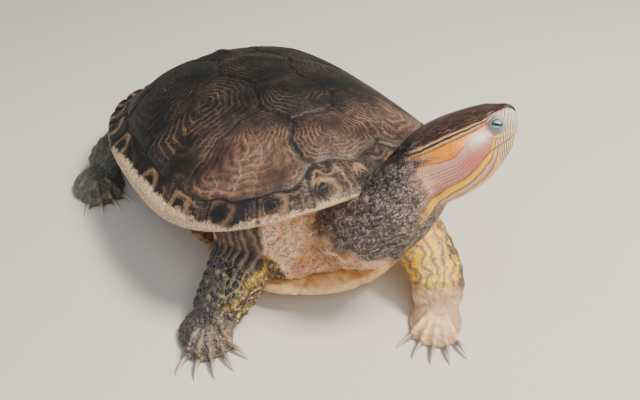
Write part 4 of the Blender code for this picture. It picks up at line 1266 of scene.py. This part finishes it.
# %% Head
# Bands are read off the flow, with fine stripes between them.
flow_shaken = shaken(fact["flow"], add("TexNoise", rest, 160.0, 4.0), 0.022)
bands = add("ValToRGB", flow_shaken, stops=[(0.0, "#35282A"), (0.12, "#34261F"), (0.262, "#2C201B"),
        (0.268, "#C79A68"), (0.273, "#C79A68"), (0.278, "#241A16"), (0.288, "#241A16"),
        (0.293, "#D8AC74"), (0.299, "#D8AC74"), (0.304, "#281C17"), (0.311, "#281C17"),
        (0.317, "#DDB07A"), (0.325, "#C89258"), (0.331, "#2E201A"), (0.35, "#3A281F"), (0.36, "#E48A1C"),
        (0.43, "#F49C22"), (0.495, "#E08430"), (0.506, "#5A322A"), (0.516, "#DDAA98"), (0.6, "#D6A092"),
        (0.742, "#C98A7C"), (0.752, "#64403A"), (0.764, "#F4B41A"), (0.832, "#F8C824"),
        (0.844, "#6E4C3C"), (0.86, "#E8BC98"), (0.892, "#8A6450"), (0.902, "#F4C454"), (0.93, "#EABC7C"),
        (1.0, "#E8C090")])
band_lines = pale_line(summed((flow_shaken, 40.0), grain), 0.26)
on_cheek = add("Math", add("MapRange", fact["flow"], 0.515, 0.53),
    add("MapRange", fact["flow"], 0.75, 0.735), operation="MULTIPLY")
on_throat = add("MapRange", fact["flow"], 0.85, 0.865)
line_share = add("Math", add("Math", on_cheek, 0.85, operation="MULTIPLY"),
    add("Math", on_throat, 0.34, operation="MULTIPLY"), operation="MAXIMUM")
head_tone = painted(bands, ("#64403E", band_lines, line_share))
crown_lines = add("Math", pale_line(summed((flow_shaken, 46.0), (grain, 2.2)), 0.3),
    add("MapRange", fact["flow"], 0.265, 0.255), operation="MULTIPLY")
head_tone = painted(head_tone,
    ("#8C7062", crown_lines,
        add("Math", 0.62, add("MapRange", strands, 0.42, 0.54), operation="MULTIPLY")),
    ("#C4484C", fact["rosy"], 0.58),
    ("#F6EEE4", fact["white_patch"], add("MapRange", fact["flow"], 0.352, 0.372, 0, 0.92)))
face_lines = pale_line(add("Math", summed(fact["face_phase"], (grain, 0.9)), 0.66, operation="MULTIPLY"),
    0.02)
face = painted("#EADFC2",
    ("#EDBE6C", add("MapRange", fact["flow"], 0.6, 0.95, 0, 0.45)),
    ("#1F1918", face_lines, 0.96),
    ("#A9B2B8", add("MapRange", fact["back"], 3.2, 0.3, 0, 0.75)))
head_tone = painted(head_tone, (face, fact["facing"], add("MapRange", fact["flow"], 0.26, 0.32)))
body = painted(body, (head_tone, fact["striped"]))
print("stripes of the head coloured")

# %% Lids and mouth
# Each lid is a lilac-grey ring with a thin dark edge against the eyeball. The mouth is a dark line.
lid_tone = add("ValToRGB", add("Math", fact["eye_ring"], 0.1, operation="MULTIPLY"),
    stops=[(0.24, "#3C3D42"), (0.285, "#6C6E76"), (0.315, "#9C9CA6"), (0.36, "#87868F"),
        (0.375, "#55535A"), (0.395, "#B4AFB4"), (0.44, "#A29FA8"), (0.465, "#5E5A60"), (0.485, "#BEB9BC"),
        (0.53, "#9C9698")])
body = painted(body,
    (lid_tone, add("MapRange", shaken(fact["eye_ring"], grain, 1.4), 5.6, 4.9, 0, 0.92)),
    ("#3A2C28", around_value(fact["below_mouth"], 0.1, 0.45)),
    ("#1E1B1B", add("MapRange", fine, 0.58, 0.72, 0, 0.22)))
tree.links.new(body, shader.inputs["Base Color"])
creases = summed((add("MapRange", pebble_edge, 0.0, 0.2), fact["pebbled"]),
    (add("MapRange", plate_edge, 0.0, 0.15), fact["plated"]))
creases = summed(creases, (wrinkles, fact["arm_folds"]))
skin_relief = summed((creases, 0.9), summed((grain, 0.5), (fine, 0.3)))
tree.links.new(add("Bump", Height=skin_relief, Distance=0.0007, Strength=0.7), shader.inputs["Normal"])
skin.data.materials.append(hide)
print("skin coloured")

# %% [markdown]
# The plastron is one cream plate of twelve scutes. A seam runs down its middle and five cross it,
# the first and the last of them slanted, and faint growth lines run along the seams. The bridges
# that join it to the carapace are painted dark brown, finely flecked with near black: partly their
# own colour and partly painted shade under the carapace's rim. No places are given to its noises,
# nor to that of the claws, so each runs over the piece's own box, from 0 to 1.

# %% Plastron
plastron = one_surface([merged_copy("plastron")], "plastron_scutes", 1.5 * MM, 12, 0.3 * MM)
PLASTRON_SEAMS = [(0.104, 0.55), (0.066, -0.12), (0.026, 0.10), (-0.038, 0.06), (-0.078, -0.55)]
BRIDGE_LIFT = 0.2


def from_world(places):
    """The shell's own axes again."""
    x, z = places[:, 0] - SHIFT[0] - REST_X, places[:, 2] - SHIFT[2]
    c, s = math.cos(PITCH), math.sin(PITCH)
    return np.stack([x * c + z * s + REST_X, places[:, 1] - SHIFT[1], z * c - x * s], -1)


plan = from_world(points(plastron))
x, y = plan[:, 0], np.abs(plan[:, 1])
seam_away = np.abs(plan[:, 1] + 0.0008 * np.sin(x * 140))
for middle, slant in PLASTRON_SEAMS:
    past = np.abs(x - middle - slant * y + 0.0007 * np.sin(y * 260)) / math.hypot(1, slant)
    seam_away = np.minimum(seam_away, past)
seam_away = seam_away / MM
height = -0.7 * bump(seam_away, 0, 0.9) + 0.5 * (1 - np.exp(-seam_away / 6))
height += 0.16 * np.sin(seam_away * 2.4) * step(0.6, 2.5, seam_away) * step(16, 8, seam_away)
bridge_share = step(0.010, 0.024, plan[:, 2] + 0.004 * np.sin(x * 90)) * step(0.055, 0.070, y)
height = height * (1 - bridge_share) + BRIDGE_LIFT * bridge_share
placed = points(plastron) + normals(plastron) * (height * MM)[:, None]
placed[:, 2] = np.maximum(placed[:, 2], 0.0)
move_points(plastron, placed)
note(plastron, "seam", seam_away)
note(plastron, "bridge", bridge_share)
pick(plastron)
bpy.ops.object.shade_smooth()
print("plastron faces:", len(plastron.data.polygons))

# %% Cream horn of the plastron
cream, tree, shader = new_material("plastron_keratin", 0.42)
seam_at = add("Attribute", attribute_name="seam", out="Fac")
bridge = add("Attribute", attribute_name="bridge", out="Fac")
grain = add("TexNoise", Scale=420.0, Detail=3.0)
plate = add("ValToRGB", add("TexNoise", Scale=40.0, Detail=4.0),
    stops=[(0.3, "#E0A868"), (0.45, "#F0C080"), (0.6, "#FAD89C"), (0.75, "#FFE6B8")])
# The bridges' dark brown and near black flecks are partly their own colour and partly painted shade under
# the carapace's rim.
plate = painted(plate,
    ("#D88A58", add("MapRange", add("TexNoise", Scale=60.0, Detail=3.0), 0.44, 0.7), 0.35),
    ("#6E4C30", bridge, 0.8),
    ("#2A231F", bridge, add("MapRange", add("TexNoise", Scale=48.0, Detail=4.0), 0.48, 0.58, 0, 0.85)))
growth = pale_line(summed((seam_at, 0.42), (grain, 0.7)), 0.34)
plate = painted(plate,
    ("#A9764C", growth, 0.14),
    ("#6F5548", add("MapRange", grain, 0.6, 0.74, 0, 0.35)),
    ("#7A4F3A", add("MapRange", seam_at, 0.9, 0.25, 0, 0.6)))
tree.links.new(plate, shader.inputs["Base Color"])
tree.links.new(add("Bump", Height=summed(growth, grain), Distance=0.0005, Strength=0.5),
    shader.inputs["Normal"])
plastron.data.materials.append(cream)
print("plastron coloured")

# %% [markdown]
# The eyes are wet glassy balls. The iris is a pale turquoise crossed by a dark level bar, as in most
# sliders, with a round black pupil in its middle, and it darkens towards the lids.

# %% Eyes
def make_eye(name, side):
    """An eyeball whose points know their place about the line of sight, with up kept plumb."""
    centre = Vector(from_head(eye_centre(side)))
    bpy.ops.mesh.primitive_uv_sphere_add(segments=64, ring_count=40, radius=EYE_RADIUS, location=centre)
    made = bpy.context.object
    made.name = name
    bpy.ops.object.transform_apply(location=True)
    bpy.ops.object.shade_smooth()
    axis = Vector(HEAD_AXES.T @ eye_line(side)).normalized()
    plumb = (Vector((0, 0, 1)) - axis * axis.z).normalized()
    offset = (points(made) - np.array(centre)) / MM
    ahead = offset @ np.array(axis)
    lifted = offset @ np.array(plumb)
    wide = offset @ np.array(axis.cross(plumb))
    note(made, "from_axis", np.hypot(lifted, wide) + 9 * (ahead < 0))
    note(made, "lifted", lifted)
    return made


eyes = {"eye_right": make_eye("eyeball_right", -1), "eye_left": make_eye("eyeball_left", 1)}
print("eyeballs:", len(eyes))

# %% Wet iris and pupil
wet, tree, shader = new_material("wet_eye", 0.08, Coat_Weight=1.0, Coat_Roughness=0.03)
from_axis = add("Attribute", attribute_name="from_axis", out="Fac")
lifted = add("Attribute", attribute_name="lifted", out="Fac")
flecks = add("TexNoise", add("TexCoord", out="Object"), 1500.0, 3.0)
iris = add("ValToRGB", add("Math", from_axis, 0.2, operation="MULTIPLY"),
    stops=[(0.14, "#7FC0A6"), (0.32, "#8CCFBE"), (0.5, "#559890"), (0.66, "#28423F"), (0.8, "#141A1A")])
iris = painted(iris, ("#D5E8B8", add("MapRange", flecks, 0.52, 0.7, 0, 0.5)))
bar = add("MapRange", summed(add("Math", lifted, operation="ABSOLUTE"), (flecks, 0.3)), 1.15, 0.6)
iris = painted(iris, ("#070D0D", bar, 0.96), ("#040606", add("MapRange", from_axis, 0.62, 0.5)))
tree.links.new(iris, shader.inputs["Base Color"])
for eye in eyes.values():
    eye.data.materials.append(wet)
print("eyes coloured")

# %% [markdown]
# Claws are curved cones of horn, flattened from side to side, dark at the root and worn pale at the
# tip. Each starts as a small sphere and is drawn out from its toe along its own solid.

# %% Claws
CLAW_RADIUS, CLAW_TIP, CLAW_FLATNESS = 2.2 * MM, 0.08 * MM, 0.78
CLAW_ROOTED, CLAW_ARCH = 1.5 * MM, 1.3 * MM
claws = {}
for node in CLAW_NODES:
    _, root, tip = claw_line(node)
    ahead = (tip - root) * (1, 1, 0)
    ahead /= np.linalg.norm(ahead)
    side = np.array([-ahead[1], ahead[0], 0])
    bpy.ops.mesh.primitive_uv_sphere_add(segments=10, ring_count=9, radius=1.0)
    claw = bpy.context.object
    claw.name = node.replace("claw_", "horn_")
    ball = points(claw)
    share = (ball[:, 2] + 1) / 2
    radius = CLAW_RADIUS * (1 - share) ** 0.62 * np.minimum(1, (share / 0.05 + 0.02) ** 0.5) + CLAW_TIP
    ring = ball[:, :2] / (np.linalg.norm(ball[:, :2], axis=1, keepdims=True) + 1e-9)
    ring *= (np.linalg.norm(ball[:, :2], axis=1) > 1e-4)[:, None]
    middle = root + (tip - root) * share[:, None]
    middle -= ahead * (CLAW_ROOTED * (1 - share))[:, None]
    middle[:, 2] = root[2] + (tip[2] - root[2]) * share**1.9
    middle[:, 2] += CLAW_ARCH * np.sin(np.pi * share) * (1 - 0.3 * share)
    shaped = middle + side * (ring[:, :1] * radius[:, None] * CLAW_FLATNESS)
    shaped[:, 2] += ring[:, 1] * radius
    shaped[:, 2] = np.maximum(shaped[:, 2], 0.1 * MM)
    move_points(claw, shaped)
    note(claw, "share", share)
    bpy.ops.object.shade_smooth()
    claws[node] = claw
print("claws:", len(claws))

# %% Worn horn of the claws
claw_horn, tree, shader = new_material("claw_horn", 0.34)
share = add("Attribute", attribute_name="share", out="Fac")
tone = add("ValToRGB", shaken(share, add("TexNoise", Scale=900.0, Detail=3.0), 0.35),
    stops=[(0.05, "#6A6057"), (0.3, "#958B7F"), (0.65, "#BAB0A2"), (0.95, "#DCD4C5")])
tree.links.new(tone, shader.inputs["Base Color"])
for claw in claws.values():
    claw.data.materials.append(claw_horn)
print("claws coloured")

# %% [markdown]
# Last, each piece is tied to the frame. The model stands still, so every piece rides on the root,
# and each takes the place of the plain solids that it dresses.

# %% Pieces ride on the solids they dress
DRESSED = [(shell, ["carapace"], "carapace"), (plastron, ["plastron"], "plastron"),
           (skin, FLESH, "skin_dark")]
DRESSED += [(eye, [node], "eye") for node, eye in eyes.items()]
DRESSED += [(claw, [node], "claw") for node, claw in claws.items()]
for piece, nodes, slot in DRESSED:
    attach(piece, "root")
    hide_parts(*nodes)
print("pieces:", len(DRESSED))
